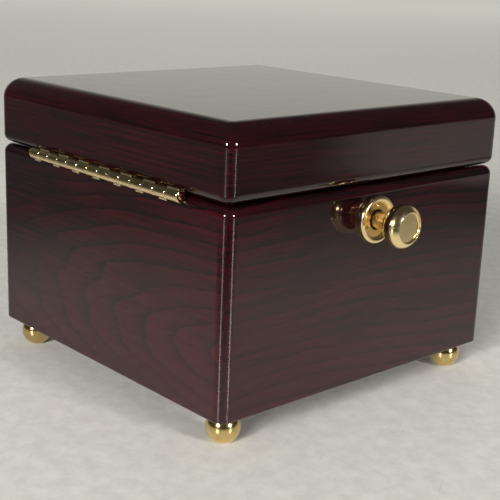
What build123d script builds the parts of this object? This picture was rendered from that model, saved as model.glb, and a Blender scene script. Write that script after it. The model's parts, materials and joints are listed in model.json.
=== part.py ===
"""A lacquered wooden music box with a hinged lid, wound by a knob on its left side.

Millimetres, +Z up. The origin is on the table under the middle of the case.
The front is -Y, the hinge is on +Y and the winding knob is on -X.
"""
import os
from math import acos, cos, degrees, pi, radians, sin, tan

from build123d import *

# Case and lid
BOX_WIDTH = 127.0
BOX_DEPTH = 127.0
BODY_HEIGHT = 66.7
LID_HEIGHT = 23.3
LID_GAP = 0.6
WALL = 9.0
LID_PANEL = 10.0
CORNER_RADIUS = 4.0
LID_TOP_RADIUS = 6.8
GROOVE_RADIUS = 3.0
BASE_EDGE_RADIUS = 0.8
BOTTOM_THICKNESS = 5.0
RABBET_WEB = 4.0
SOUND_HOLE_RADIUS = 4.0
SOUND_HOLE_CIRCLE = 22.0
SOUND_HOLES = 5
LID_LINING = 2.0
BUMPER_RADIUS = 2.2
BUMPER_INSET = 12.0
JOIN_CLEARANCE = 0.1

# Feet
FOOT_HEIGHT = 10.0
FOOT_RADIUS = 5.6
FOOT_PAD_RADIUS = 2.6
FOOT_INSET = 8.8
FOOT_STUD_RADIUS = 1.5
FOOT_STUD_LENGTH = 4.0
STUD_CLEARANCE = 0.05

# Hinge
HINGE_KNUCKLES = 14
KNUCKLE_PITCH = 5.92
KNUCKLE_GAP = 0.3
KNUCKLE_CHAMFER = 0.25
HINGE_MIDDLE = -2.95
HINGE_RADIUS = 2.0
HINGE_PIN_RADIUS = 0.9
HINGE_PIN_END = 0.3
HINGE_STANDOFF = 1.2
LEAF_THICKNESS = 0.8
LEAF_RISE = 1.7
LEAF_DEPTH = 7.5
LEAF_SETBACK = 0.6
LID_TAB_SIDE_GAP = 0.2
CASE_TAB_SIDE_GAP = 1.0
LID_TAB_OVERHANG = 1.0
CASE_TAB_OVERHANG = 0.3
KERF_CLEARANCE = 0.1
LID_OPENING = 100.0
STOP_DOG_ANGLE = 40.0
STOP_DOG_REACH = 1.4
STOP_DOG_PLAY = 2.0
STOP_DOG_START = 230.0

# Winding knob and escutcheon
KNOB_RADIUS = 7.2
KNOB_WIDEST_OUT = 11.8
KNOB_FACE_OUT = 14.75
KNOB_FACE_RADIUS = 5.3
KNOB_RIM = 0.4
KNOB_RECESS = 0.6
KNOB_RECESS_SLOPE = 0.2
KNOB_BACK_OUT = 6.6
KNOB_BACK_RADIUS = 4.05
KNOB_SOCKET_DEPTH = 5.4
WINDING_SHAFT_RADIUS = 2.8
ESCUTCHEON_RADIUS = 7.9
ESCUTCHEON_RIM = 2.0
ESCUTCHEON_HEIGHT = 1.9
ESCUTCHEON_PLATE = 0.8
ESCUTCHEON_BORE = 3.15
ESCUTCHEON_PINS = 3
PIN_CIRCLE = 4.55
PIN_HEAD_RADIUS = 0.5
PIN_HEAD_HEIGHT = 0.35
PIN_SHANK_RADIUS = 0.3
PIN_SHANK_LENGTH = 5.0
BUSH_WALL = 1.4

# Fits
RUNNING_CLEARANCE = 0.05
END_FLOAT = 1.0
SHOULDER_GAP = 0.5
WHEEL_GAP = 2.0
WORM_WHEEL_GAP = 1.5

# Gear train
PRESSURE_ANGLE = 25.0
ADDENDUM = 0.8
DEDENDUM = 1.05
BACKLASH = 0.14
GREAT_MODULE = 0.5
GREAT_TEETH = 34
CYLINDER_PINION_TEETH = 12
TRAIN_MODULE = 0.4
CYLINDER_WHEEL_TEETH = 40
TRAIN_PINION_TEETH = 10
TRAIN_EXTRA_CENTRES = 0.05
WORM_MODULE = 0.4
WORM_WHEEL_TEETH = 24
WORM_STARTS = 2
WORM_PITCH_RADIUS = 1.5
WORM_TIP_RADIUS = 1.8
WORM_ROOT_RADIUS = 1.05
WORM_LENGTH = 7.0
WHEEL_THICKNESS = 2.0
PINION_OVERLAP = 0.4
CYLINDER_DIRECTION = -36.87
TRAIN_DIRECTION = 199.0

# Movement
MOVEMENT_TOP_CLEARANCE = 0.6
BED_CLEARANCE = 0.7
BED_THICKNESS = 3.5
BED_MARGIN = 1.0
BED_BACK_MARGIN = 5.0
COCK_THICKNESS = 2.5
COCK_FOOT = 2.0
COCK_FOOT_LENGTH = 6.0
COCK_EDGE = 4.0
RATCHET_RADIUS = 6.5
RATCHET_ROOT = 5.7
RATCHET_TEETH = 24
RATCHET_THICKNESS = 1.5
CLICK_THICKNESS = 1.2
CLICK_PIVOT_Y = 9.0
CLICK_PIVOT_RISE = 6.3
CLICK_EYE_RADIUS = 1.7
CLICK_PIN_RADIUS = 0.8
CLICK_HEAD = 0.5
CLICK_ARM_HALF = 1.0
CLICK_BITE = 0.56
CLICK_FACE_GAP = 0.16
CLICK_NOSE_HEIGHT = 1.4
CLICK_NOSE_TOP_Y = 1.6
CLICK_NOSE_BOTTOM_Y = 2.4
CLICK_SPRING_THICKNESS = 0.3
CLICK_POST = 1.7
ARBOR_RADIUS = 2.2
ARBOR_PIVOT_RADIUS = 1.4
DRUM_LENGTH = 11.0
DRUM_RADIUS = 7.7
DRUM_WALL = 0.7
DRUM_COVER = 1.0
SPRING_STRIP = 0.3
SPRING_PITCH = 0.85
SPRING_TURNS = 5
SPRING_SIDE_GAP = 0.3
CYLINDER_LENGTH = 40.0
CYLINDER_RADIUS = 6.5
CYLINDER_WALL = 0.8
CYLINDER_END = 1.5
CYLINDER_ARBOR_RADIUS = 1.2
TUNE_PIN_RADIUS = 0.25
TUNE_PIN_HEIGHT = 0.6
TUNE_PINS_PER_TOOTH = 5
TUNE_STEP_ANGLE = 137.5
COMB_TEETH = 18
COMB_PITCH = 2.1
COMB_SLOT = 0.5
COMB_THICKNESS = 1.0
COMB_CLEARANCE = 0.1
COMB_BASS_TOOTH = 11.0
COMB_TREBLE_TOOTH = 7.0
COMB_HEEL = 8.5
TRAIN_ARBOR_RADIUS = 0.9
GOVERNOR_SHAFT_RADIUS = 0.7
GOVERNOR_PIVOT_DEPTH = 1.5
FAN_RADIUS = 6.4
FAN_HEIGHT = 5.0
FAN_BLADE = 0.5
FAN_HUB_RADIUS = 3.2
FAN_HUB_HEIGHT = 1.2
FAN_BOSS_RADIUS = 1.4
FAN_ABOVE_WORM = 4.2
GOVERNOR_ARM = 2.0
GOVERNOR_ARM_WIDTH = 3.0
GOVERNOR_ARM_ABOVE_HUB = 1.8
GOVERNOR_PILLAR = 3.0
SCREW_HEAD_RADIUS = 1.6
SCREW_HEAD_HEIGHT = 1.0
SCREW_SHANK_RADIUS = 0.8
SCREW_BITE = 3.0
SCREW_SLOT = 0.5
SCREW_SLOT_DEPTH = 0.5

# Inside of the case
SOUND_BOARD = 4.5
CLEAT = 8.0
PARTITION = 2.5
LINING_SKIN = 1.5
PANE = 1.5
PANE_BELOW_RIM = 0.2
PANE_LEDGE = 2.0
PANE_LEDGE_HEIGHT = 3.0
FIT_GAP = 0.2

# Stop lever
STOP_PIVOT_FROM_WALL = 9.5
STOP_LIFT = 3.0
STOP_LEVER_WIDTH = 2.0
STOP_LEVER_HEIGHT = 1.6
STOP_PAD_GAP = 0.3
STOP_PAD_HEIGHT = 0.7
STOP_ROD_FROM_PIVOT = 15.0
STOP_ROD_RADIUS = 1.0
STOP_TENON_RADIUS = 0.5
STOP_BOSS_RADIUS = 1.8
STOP_ROD_LID_GAP = 0.2
STOP_PIN_RADIUS = 0.8
STOP_CHEEK = 1.8
STOP_CHEEK_GAP = 0.3
STOP_BRACKET_BASE = 2.0
STOP_BRACKET_FLANGE = 3.1
STOP_SPRING_RADIUS = 1.6
STOP_SPRING_WIRE = 0.25
STOP_SPRING_LENGTH = 9.0
STOP_SPRING_TURNS = 5
STOP_SPRING_FROM_PIVOT = 5.5

# Levels of the case
HALF_WIDTH = BOX_WIDTH / 2
HALF_DEPTH = BOX_DEPTH / 2
INNER_X = HALF_WIDTH - WALL
INNER_Y = HALF_DEPTH - WALL
BODY_Z = FOOT_HEIGHT
RIM_Z = BODY_Z + BODY_HEIGHT
LID_Z = RIM_Z + LID_GAP
TOP_Z = LID_Z + LID_HEIGHT
CEILING_Z = TOP_Z - LID_PANEL
LINING_Z = CEILING_Z - LID_LINING
FLOOR_Z = BODY_Z + BOTTOM_THICKNESS
HINGE_Y = HALF_DEPTH + HINGE_STANDOFF
HINGE_Z = RIM_Z + LID_GAP / 2
HINGE_LENGTH = HINGE_KNUCKLES * KNUCKLE_PITCH
HINGE_LOW_X = HINGE_MIDDLE - HINGE_LENGTH / 2
HINGE_HIGH_X = HINGE_MIDDLE + HINGE_LENGTH / 2
PANE_Z = RIM_Z - PANE_BELOW_RIM - PANE

# Gear centres, in the plane across the arbors
def tip_radius(teeth, module):
    """Outer radius of a gear."""
    return module * (teeth / 2 + ADDENDUM)


GREAT_CENTRES = GREAT_MODULE * (GREAT_TEETH + CYLINDER_PINION_TEETH) / 2
TRAIN_CENTRES = TRAIN_MODULE * (CYLINDER_WHEEL_TEETH + TRAIN_PINION_TEETH) / 2 + TRAIN_EXTRA_CENTRES
WORM_WHEEL_RADIUS = WORM_MODULE * WORM_WHEEL_TEETH / 2
PINNED_RADIUS = CYLINDER_RADIUS + TUNE_PIN_HEIGHT
WIND_Y = 0.0
WIND_Z = PANE_Z - MOVEMENT_TOP_CLEARANCE - tip_radius(GREAT_TEETH, GREAT_MODULE)
CYL_Y = WIND_Y + GREAT_CENTRES * cos(radians(CYLINDER_DIRECTION))
CYL_Z = WIND_Z + GREAT_CENTRES * sin(radians(CYLINDER_DIRECTION))
TRAIN_Y = CYL_Y + TRAIN_CENTRES * cos(radians(TRAIN_DIRECTION))
TRAIN_Z = CYL_Z + TRAIN_CENTRES * sin(radians(TRAIN_DIRECTION))
GOV_Y = TRAIN_Y - WORM_WHEEL_RADIUS - WORM_PITCH_RADIUS
LOWEST_WHEEL_Z = min(
    CYL_Z - tip_radius(CYLINDER_WHEEL_TEETH, TRAIN_MODULE),
    CYL_Z - PINNED_RADIUS,
    TRAIN_Z - tip_radius(WORM_WHEEL_TEETH, WORM_MODULE),
)
BED_Z = LOWEST_WHEEL_Z - BED_CLEARANCE
BOARD_Z = BED_Z - BED_THICKNESS

# Stations along the arbors, from the left wall inwards
RATCHET_X = -INNER_X + SHOULDER_GAP + END_FLOAT
LEFT_COCK_X = RATCHET_X + RATCHET_THICKNESS + END_FLOAT
DRUM_X = LEFT_COCK_X + COCK_THICKNESS + END_FLOAT
GREAT_X = DRUM_X + DRUM_LENGTH
CENTRE_COCK_X = GREAT_X + WHEEL_THICKNESS + WHEEL_GAP
CYLINDER_X = CENTRE_COCK_X + COCK_THICKNESS + WHEEL_GAP
CYL_WHEEL_X = CYLINDER_X + CYLINDER_LENGTH + END_FLOAT
RIGHT_COCK_X = CYL_WHEEL_X + WHEEL_THICKNESS + WHEEL_GAP
WORM_WHEEL_X = RIGHT_COCK_X + COCK_THICKNESS + WORM_WHEEL_GAP
GOV_X = WORM_WHEEL_X + WHEEL_THICKNESS / 2
GOV_COCK_X = WORM_WHEEL_X + WHEEL_THICKNESS + WHEEL_GAP
PILLAR_X = max(GOV_X + FAN_RADIUS, GOV_COCK_X + COCK_THICKNESS + 2 * SCREW_HEAD_RADIUS) + END_FLOAT
BED_RIGHT_X = PILLAR_X + GOVERNOR_PILLAR + 2 * BED_MARGIN
BED_LEFT_X = LEFT_COCK_X - SHOULDER_GAP

# Places across the movement
COMB_TIP_Y = CYL_Y - PINNED_RADIUS - COMB_CLEARANCE
COMB_ROOT_Y = COMB_TIP_Y - COMB_BASS_TOOTH
COMB_BACK_Y = COMB_ROOT_Y - COMB_HEEL
COMB_MIDDLE_X = CYLINDER_X + CYLINDER_LENGTH / 2
COMB_WIDTH = COMB_TEETH * COMB_PITCH
BED_FRONT_Y = COMB_BACK_Y - BED_MARGIN
BED_BACK_Y = CYL_Y + PINNED_RADIUS + BED_BACK_MARGIN
PARTITION_BACK_Y = BED_FRONT_Y - BED_MARGIN
PARTITION_FRONT_Y = PARTITION_BACK_Y - PARTITION

# Heights along the governor
WORM_Z = TRAIN_Z - WORM_LENGTH / 2
FAN_Z = WORM_Z + WORM_LENGTH + FAN_ABOVE_WORM
HUB_Z = FAN_Z + FAN_HEIGHT
ARM_Z = HUB_Z + FAN_HUB_HEIGHT + GOVERNOR_ARM_ABOVE_HUB

# Stop lever places
STOP_PIVOT_Y = INNER_Y - STOP_PIVOT_FROM_WALL
STOP_ROD_Y = STOP_PIVOT_Y - STOP_ROD_FROM_PIVOT
STOP_PAD_Z = HUB_Z + FAN_HUB_HEIGHT + STOP_PAD_GAP
STOP_LEVER_Z = STOP_PAD_Z + STOP_PAD_HEIGHT
STOP_TIP_Y = GOV_Y + GOVERNOR_ARM_WIDTH / 2 + STOP_PAD_GAP
STOP_PIVOT_Z = STOP_LEVER_Z + STOP_LEVER_HEIGHT / 2
STOP_SPRING_Y = STOP_PIVOT_Y - STOP_SPRING_FROM_PIVOT

LOW = (Align.CENTER, Align.CENTER, Align.MIN)
nodes = {}


def box(low, high):
    """A block between two corners."""
    size = [b - a for a, b in zip(low, high)]
    return Pos(*low) * Box(*size, align=(Align.MIN, Align.MIN, Align.MIN))


def rod_x(x_low, x_high, y, z, radius):
    """A round rod along X."""
    return Pos(x_low, y, z) * Rot(0, 90, 0) * Cylinder(radius, x_high - x_low, align=LOW)


def rod_z(x, y, z_low, z_high, radius):
    """A round rod along Z."""
    return Pos(x, y, z_low) * Cylinder(radius, z_high - z_low, align=LOW)


def plate_x(x_low, x_high, points):
    """A flat plate across X, with its outline given as (y, z) points."""
    side = Plane(origin=(x_low, 0, 0), x_dir=(0, 1, 0), z_dir=(1, 0, 0))
    outline = make_face(Polyline(*points, close=True))
    return extrude(side * outline, amount=x_high - x_low)


def turned_x(edges, y, z):
    """A turned piece about an axis along X, from edges drawn as (x, radius)."""
    return Pos(0, y, z) * revolve(make_face(edges), Axis.X)


def tube_x(x_low, x_high, y, z, outer, inner):
    """A tube along X."""
    return rod_x(x_low, x_high, y, z, outer) - rod_x(x_low, x_high, y, z, inner)


def polar(radius, angle):
    """A point at an angle in degrees."""
    return (radius * cos(radians(angle)), radius * sin(radians(angle)))


def about(y, z, points):
    """Points moved so that they lie about the centre (y, z)."""
    return [(y + point[0], z + point[1]) for point in points]


def rounded_block(z_low, z_high):
    """A block with the outline of the case."""
    outline = RectangleRounded(BOX_WIDTH, BOX_DEPTH, CORNER_RADIUS)
    return Pos(0, 0, z_low) * extrude(outline, amount=z_high - z_low)


def four_sides(ring, thickness, z_low, z_high, prefix, suffix):
    """Cut a frame into four sides with mitred corners."""
    corners = [(-1, -1), (1, -1), (1, 1), (-1, 1)]
    for index, side in enumerate(["front", "right", "back", "left"]):
        here = corners[index]
        there = corners[(index + 1) % 4]
        outer = [(sx * HALF_WIDTH, sy * HALF_DEPTH) for sx, sy in (here, there)]
        inner = [(sx * (HALF_WIDTH - thickness), sy * (HALF_DEPTH - thickness)) for sx, sy in (there, here)]
        wedge = extrude(make_face(Polyline(*outer, *inner, close=True)), amount=z_high - z_low)
        nodes[prefix + side + suffix] = ring & (Pos(0, 0, z_low) * wedge)


def screw(x, y, seat_z, length):
    """A pan-head screw driven down from its seat."""
    head = rod_z(x, y, seat_z, seat_z + SCREW_HEAD_HEIGHT, SCREW_HEAD_RADIUS)
    slot = box(
        (x - SCREW_HEAD_RADIUS, y - SCREW_SLOT / 2, seat_z + SCREW_HEAD_HEIGHT - SCREW_SLOT_DEPTH),
        (x + SCREW_HEAD_RADIUS, y + SCREW_SLOT / 2, seat_z + SCREW_HEAD_HEIGHT),
    )
    return head - slot + rod_z(x, y, seat_z - length, seat_z, SCREW_SHANK_RADIUS)


def screw_hole(x, y, z_low, z_high):
    """The hole that a screw's shank passes through."""
    return rod_z(x, y, z_low, z_high, SCREW_SHANK_RADIUS + RUNNING_CLEARANCE)


def gear_face(teeth, module, tooth_angle):
    """The outline of a gear, with one tooth centred at tooth_angle."""
    pitch = module * teeth / 2
    base = pitch * cos(radians(PRESSURE_ANGLE))
    root = pitch - DEDENDUM * module
    tip = tip_radius(teeth, module)
    start = max(root, base)

    def involute(angle):
        return tan(angle) - angle

    def half_angle(radius):
        at_pitch = (pi * module / 2 - BACKLASH) / 2 / pitch
        rolled = involute(radians(PRESSURE_ANGLE)) - involute(acos(min(1.0, base / radius)))
        return degrees(at_pitch + rolled)

    edges = []
    for tooth in range(teeth):
        centre = tooth_angle + 360 * tooth / teeth
        after = centre + 360 / teeth
        middle = (start + tip) / 2
        rise = [polar(r, centre - half_angle(r)) for r in (start, middle, tip)]
        fall = [polar(r, centre + half_angle(r)) for r in (tip, middle, start)]
        foot_in = polar(root, centre - half_angle(start))
        foot_out = polar(root, centre + half_angle(start))
        if root < base:
            edges.append(Line(foot_in, rise[0]))
            edges.append(Line(fall[2], foot_out))
        edges.append(ThreePointArc(*rise))
        edges.append(Line(rise[2], fall[0]))
        edges.append(ThreePointArc(*fall))
        edges.append(Line(foot_out, polar(root, after - half_angle(start))))
    return make_face(edges)


def gear_x(teeth, module, tooth_angle, x_low, x_high, y, z):
    """A gear with its axis along X."""
    side = Plane(origin=(x_low, y, z), x_dir=(0, 1, 0), z_dir=(1, 0, 0))
    return extrude(side * gear_face(teeth, module, tooth_angle), amount=x_high - x_low)


def case_bodywork():
    """Four mitred walls on a bottom board let into a rabbet."""
    block = rounded_block(BODY_Z, RIM_Z)
    block = fillet(block.faces().sort_by(Axis.Z)[-1].edges(), GROOVE_RADIUS)
    block = fillet(block.faces().sort_by(Axis.Z)[0].edges(), BASE_EDGE_RADIUS)
    board_x = HALF_WIDTH - RABBET_WEB
    board_y = HALF_DEPTH - RABBET_WEB
    block -= box((-INNER_X, -INNER_Y, BODY_Z), (INNER_X, INNER_Y, RIM_Z))
    block -= box((-board_x, -board_y, BODY_Z), (board_x, board_y, FLOOR_Z))
    bush_radius = WINDING_SHAFT_RADIUS + RUNNING_CLEARANCE + BUSH_WALL
    block -= rod_x(-HALF_WIDTH, -INNER_X, WIND_Y, WIND_Z, bush_radius + STUD_CLEARANCE)
    for y, z in escutcheon_pin_places():
        hole = PIN_SHANK_RADIUS + STUD_CLEARANCE
        block -= rod_x(-HALF_WIDTH, -HALF_WIDTH + PIN_SHANK_LENGTH + JOIN_CLEARANCE, y, z, hole)
    block -= kerf(-1)
    four_sides(block, WALL, BODY_Z, RIM_Z, "", "_wall")
    board = box(
        (-board_x + JOIN_CLEARANCE, -board_y + JOIN_CLEARANCE, BODY_Z),
        (board_x - JOIN_CLEARANCE, board_y - JOIN_CLEARANCE, FLOOR_Z),
    )
    for hole in range(SOUND_HOLES):
        x, y = polar(SOUND_HOLE_CIRCLE, 90 + 360 * hole / SOUND_HOLES)
        board -= rod_z(x, y, BODY_Z, FLOOR_Z, SOUND_HOLE_RADIUS)
    for _, x, y in foot_places():
        stud = FOOT_STUD_RADIUS + STUD_CLEARANCE
        board -= rod_z(x, y, BODY_Z, BODY_Z + FOOT_STUD_LENGTH + JOIN_CLEARANCE, stud)
    nodes["bottom_board"] = board


def foot_places():
    """The four corners where a foot stands."""
    x = HALF_WIDTH - FOOT_INSET
    y = HALF_DEPTH - FOOT_INSET
    return [
        ("front_left", -x, -y),
        ("front_right", x, -y),
        ("back_left", -x, y),
        ("back_right", x, y),
    ]


def feet():
    """Turned brass ball feet, each with a stud into the bottom board."""
    middle = FOOT_HEIGHT / 2
    turn = acos(FOOT_PAD_RADIUS / FOOT_RADIUS)
    rise = middle / sin(turn)
    edges = [
        Line((0, 0), (FOOT_PAD_RADIUS, 0)),
        EllipticalCenterArc((0, middle), FOOT_RADIUS, rise, -degrees(turn), arc_size=2 * degrees(turn)),
        Line((FOOT_PAD_RADIUS, FOOT_HEIGHT), (FOOT_STUD_RADIUS, FOOT_HEIGHT)),
        Line((FOOT_STUD_RADIUS, FOOT_HEIGHT), (FOOT_STUD_RADIUS, FOOT_HEIGHT + FOOT_STUD_LENGTH)),
        Line((FOOT_STUD_RADIUS, FOOT_HEIGHT + FOOT_STUD_LENGTH), (0, FOOT_HEIGHT + FOOT_STUD_LENGTH)),
        Line((0, FOOT_HEIGHT + FOOT_STUD_LENGTH), (0, 0)),
    ]
    foot = revolve(Plane.XZ * make_face(edges), Axis.Z)
    for name, x, y in foot_places():
        nodes["foot_" + name] = Pos(x, y, 0) * foot


def lid_bodywork():
    """The lid: a thick rounded panel on four mitred rails, lined inside."""
    panel = rounded_block(CEILING_Z, TOP_Z)
    nodes["lid_top_panel"] = fillet(panel.faces().sort_by(Axis.Z)[-1].edges(), LID_TOP_RADIUS)
    frame = rounded_block(LID_Z, CEILING_Z)
    frame = fillet(frame.faces().sort_by(Axis.Z)[0].edges(), GROOVE_RADIUS)
    frame -= box((-INNER_X, -INNER_Y, LID_Z), (INNER_X, INNER_Y, CEILING_Z))
    frame -= kerf(1)
    four_sides(frame, WALL, LID_Z, CEILING_Z, "lid_", "_rail")
    x = INNER_X - FIT_GAP
    y = INNER_Y - FIT_GAP
    nodes["lid_lining"] = box((-x, -y, LINING_Z), (x, y, CEILING_Z))


def lid_bumpers():
    """Two soft discs on the front wall that carry the closed lid."""
    y = -HALF_DEPTH + (GROOVE_RADIUS + WALL) / 2
    x = HALF_WIDTH - BUMPER_INSET
    discs = [rod_z(side * x, y, RIM_Z, LID_Z, BUMPER_RADIUS) for side in (-1, 1)]
    nodes["lid_bumpers"] = Compound(children=discs)


def leaf_levels(side):
    """Lowest and highest level of a hinge leaf: side 1 is the lid's, -1 the case's."""
    near = HINGE_Z + side * LEAF_RISE
    far = HINGE_Z + side * (LEAF_RISE + LEAF_THICKNESS)
    return min(near, far), max(near, far)


def kerf(side):
    """The saw cut in the wood that a hinge leaf is pressed into."""
    low, high = leaf_levels(side)
    back = HALF_DEPTH - LEAF_DEPTH - KERF_CLEARANCE
    return box(
        (HINGE_LOW_X - KERF_CLEARANCE, back, low - KERF_CLEARANCE),
        (HINGE_HIGH_X + KERF_CLEARANCE, HALF_DEPTH + HINGE_RADIUS, high + KERF_CLEARANCE),
    )


def knuckle_span(index):
    """Where one knuckle starts and ends along the hinge."""
    start = HINGE_LOW_X + index * KNUCKLE_PITCH
    return start + KNUCKLE_GAP / 2, start + KNUCKLE_PITCH - KNUCKLE_GAP / 2


def knuckle(index):
    """One barrel of the hinge, with its sharp ends taken off."""
    x_low, x_high = knuckle_span(index)
    end_radius = HINGE_RADIUS - KNUCKLE_CHAMFER
    corners = [
        (x_low, 0),
        (x_low, end_radius),
        (x_low + KNUCKLE_CHAMFER, HINGE_RADIUS),
        (x_high - KNUCKLE_CHAMFER, HINGE_RADIUS),
        (x_high, end_radius),
        (x_high, 0),
    ]
    return turned_x(Polyline(*corners, close=True), HINGE_Y, HINGE_Z)


def ring_sector(x_low, x_high, inner, outer, start_angle, sweep_angle):
    """Part of a ring about the hinge axis, from start_angle, measured from +Y towards +Z."""
    side = Plane(origin=(x_low, HINGE_Y, HINGE_Z), x_dir=(0, 1, 0), z_dir=(1, 0, 0))
    end_angle = start_angle + sweep_angle
    half_way = start_angle + sweep_angle / 2
    edges = [
        ThreePointArc(polar(outer, start_angle), polar(outer, half_way), polar(outer, end_angle)),
        Line(polar(outer, end_angle), polar(inner, end_angle)),
        ThreePointArc(polar(inner, end_angle), polar(inner, half_way), polar(inner, start_angle)),
        Line(polar(inner, start_angle), polar(outer, start_angle)),
    ]
    return extrude(side * make_face(edges), amount=x_high - x_low)


def hinge_leaf(side):
    """One leaf with every second knuckle. Two dogs between knuckles stop the lid when it is open."""
    low, high = leaf_levels(side)
    edge = HALF_DEPTH - LEAF_SETBACK
    leaf = box((HINGE_LOW_X, HALF_DEPTH - LEAF_DEPTH, low), (HINGE_HIGH_X, edge, high))
    bore = HINGE_PIN_RADIUS + RUNNING_CLEARANCE
    first = 0 if side == 1 else 1
    side_gap = LID_TAB_SIDE_GAP if side == 1 else CASE_TAB_SIDE_GAP
    overhang = LID_TAB_OVERHANG if side == 1 else CASE_TAB_OVERHANG
    for index in range(first, HINGE_KNUCKLES, 2):
        x_low, x_high = knuckle_span(index)
        leaf += knuckle(index)
        leaf += box(
            (x_low + side_gap, edge, low),
            (x_high - side_gap, HINGE_Y + overhang, high),
        )
    for index in (0, HINGE_KNUCKLES - 2):
        dog_root = knuckle_span(index)[1]
        dog_end = dog_root + KNUCKLE_GAP + STOP_DOG_REACH
        if side == 1:
            inner = bore + KNUCKLE_GAP
            outer = HINGE_RADIUS - KNUCKLE_GAP
            dog_start = dog_root - KNUCKLE_GAP
            leaf += ring_sector(dog_start, dog_end, inner, outer, STOP_DOG_START, STOP_DOG_ANGLE)
        else:
            start = STOP_DOG_START - LID_OPENING - STOP_DOG_PLAY
            sweep_angle = STOP_DOG_ANGLE + LID_OPENING + 2 * STOP_DOG_PLAY
            room = dog_end + KNUCKLE_GAP
            outer = HINGE_RADIUS + KNUCKLE_GAP
            leaf -= ring_sector(dog_root, room, HINGE_PIN_RADIUS, outer, start, sweep_angle)
    return leaf - rod_x(HINGE_LOW_X, HINGE_HIGH_X, HINGE_Y, HINGE_Z, bore)


def hinge():
    """A long brass hinge whose leaves are pressed into saw cuts."""
    nodes["hinge_lid_leaf"] = hinge_leaf(1)
    nodes["hinge_case_leaf"] = hinge_leaf(-1)
    low = HINGE_LOW_X - HINGE_PIN_END
    high = HINGE_HIGH_X + HINGE_PIN_END
    nodes["hinge_pin"] = rod_x(low, high, HINGE_Y, HINGE_Z, HINGE_PIN_RADIUS)


def escutcheon_pin_places():
    """Where the small pins hold the escutcheon, as (y, z)."""
    angles = [90 + 360 * pin / ESCUTCHEON_PINS for pin in range(ESCUTCHEON_PINS)]
    return about(WIND_Y, WIND_Z, [polar(PIN_CIRCLE, angle) for angle in angles])


def escutcheon():
    """A round brass plate with a raised rim around the winding shaft, pinned to the wall."""
    wall = -HALF_WIDTH
    plate = wall - ESCUTCHEON_PLATE
    rim_inner = ESCUTCHEON_RADIUS - ESCUTCHEON_RIM
    rim_middle = ESCUTCHEON_RADIUS - ESCUTCHEON_RIM / 2
    edges = [
        Line((wall, ESCUTCHEON_BORE), (plate, ESCUTCHEON_BORE)),
        Line((plate, ESCUTCHEON_BORE), (plate, rim_inner)),
        ThreePointArc((plate, rim_inner), (wall - ESCUTCHEON_HEIGHT, rim_middle), (plate, ESCUTCHEON_RADIUS)),
        Line((plate, ESCUTCHEON_RADIUS), (wall, ESCUTCHEON_RADIUS)),
        Line((wall, ESCUTCHEON_RADIUS), (wall, ESCUTCHEON_BORE)),
    ]
    disc = turned_x(edges, WIND_Y, WIND_Z)
    pins = []
    for y, z in escutcheon_pin_places():
        disc -= rod_x(plate, wall, y, z, PIN_SHANK_RADIUS + STUD_CLEARANCE)
        head = rod_x(plate - PIN_HEAD_HEIGHT, plate, y, z, PIN_HEAD_RADIUS)
        pins.append(head + rod_x(plate, wall + PIN_SHANK_LENGTH, y, z, PIN_SHANK_RADIUS))
    nodes["escutcheon"] = disc
    nodes["escutcheon_pins"] = Compound(children=pins)
    bore = WINDING_SHAFT_RADIUS + RUNNING_CLEARANCE
    nodes["wall_bush"] = tube_x(wall, -INNER_X, WIND_Y, WIND_Z, bore + BUSH_WALL, bore)


def ball_edge(widest, end):
    """The edge of a turned ball about X, from its widest place to where it ends, both as (x, radius)."""
    turn = acos(end[1] / widest[1])
    reach = abs(end[0] - widest[0]) / sin(turn)
    way = -1 if end[0] > widest[0] else 1
    return EllipticalCenterArc((widest[0], 0), reach, widest[1], 90, arc_size=way * degrees(turn))


def winding():
    """The knob, the arbor that it turns and the ratchet wheel that holds what is wound."""
    wall = -HALF_WIDTH
    back = (wall - KNOB_BACK_OUT, KNOB_BACK_RADIUS)
    widest = (wall - KNOB_WIDEST_OUT, KNOB_RADIUS)
    face = (wall - KNOB_FACE_OUT, KNOB_FACE_RADIUS)
    lip = (wall - KNOB_FACE_OUT, KNOB_FACE_RADIUS - KNOB_RIM)
    floor = (wall - KNOB_FACE_OUT + KNOB_RECESS, KNOB_FACE_RADIUS - KNOB_RIM - KNOB_RECESS_SLOPE)
    socket_end = wall - KNOB_BACK_OUT - KNOB_SOCKET_DEPTH
    socket = WINDING_SHAFT_RADIUS + STUD_CLEARANCE
    edges = [
        Line((wall - KNOB_BACK_OUT, socket), back),
        ball_edge(widest, back),
        ball_edge(widest, face),
        Line(face, lip),
        Line(lip, floor),
        Line(floor, (floor[0], 0)),
        Line((floor[0], 0), (socket_end, 0)),
        Line((socket_end, 0), (socket_end, socket)),
        Line((socket_end, socket), (wall - KNOB_BACK_OUT, socket)),
    ]
    nodes["winding_knob"] = turned_x(edges, WIND_Y, WIND_Z)
    shoulder = -INNER_X + SHOULDER_GAP
    pivot = CENTRE_COCK_X - END_FLOAT
    arbor = rod_x(socket_end + STUD_CLEARANCE, shoulder, WIND_Y, WIND_Z, WINDING_SHAFT_RADIUS)
    arbor += rod_x(shoulder, pivot, WIND_Y, WIND_Z, ARBOR_RADIUS)
    arbor += rod_x(pivot, CENTRE_COCK_X + COCK_THICKNESS, WIND_Y, WIND_Z, ARBOR_PIVOT_RADIUS)
    nodes["winding_arbor"] = arbor
    points = []
    step = 360 / RATCHET_TEETH
    for tooth in range(RATCHET_TEETH):
        angle = 90 + tooth * step
        points.append(polar(RATCHET_ROOT, angle))
        points.append(polar(RATCHET_RADIUS, angle))
    ratchet = plate_x(RATCHET_X, RATCHET_X + RATCHET_THICKNESS, about(WIND_Y, WIND_Z, points))
    bore = rod_x(RATCHET_X, RATCHET_X + RATCHET_THICKNESS, WIND_Y, WIND_Z, ARBOR_RADIUS + STUD_CLEARANCE)
    nodes["ratchet_wheel"] = ratchet - bore


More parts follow.
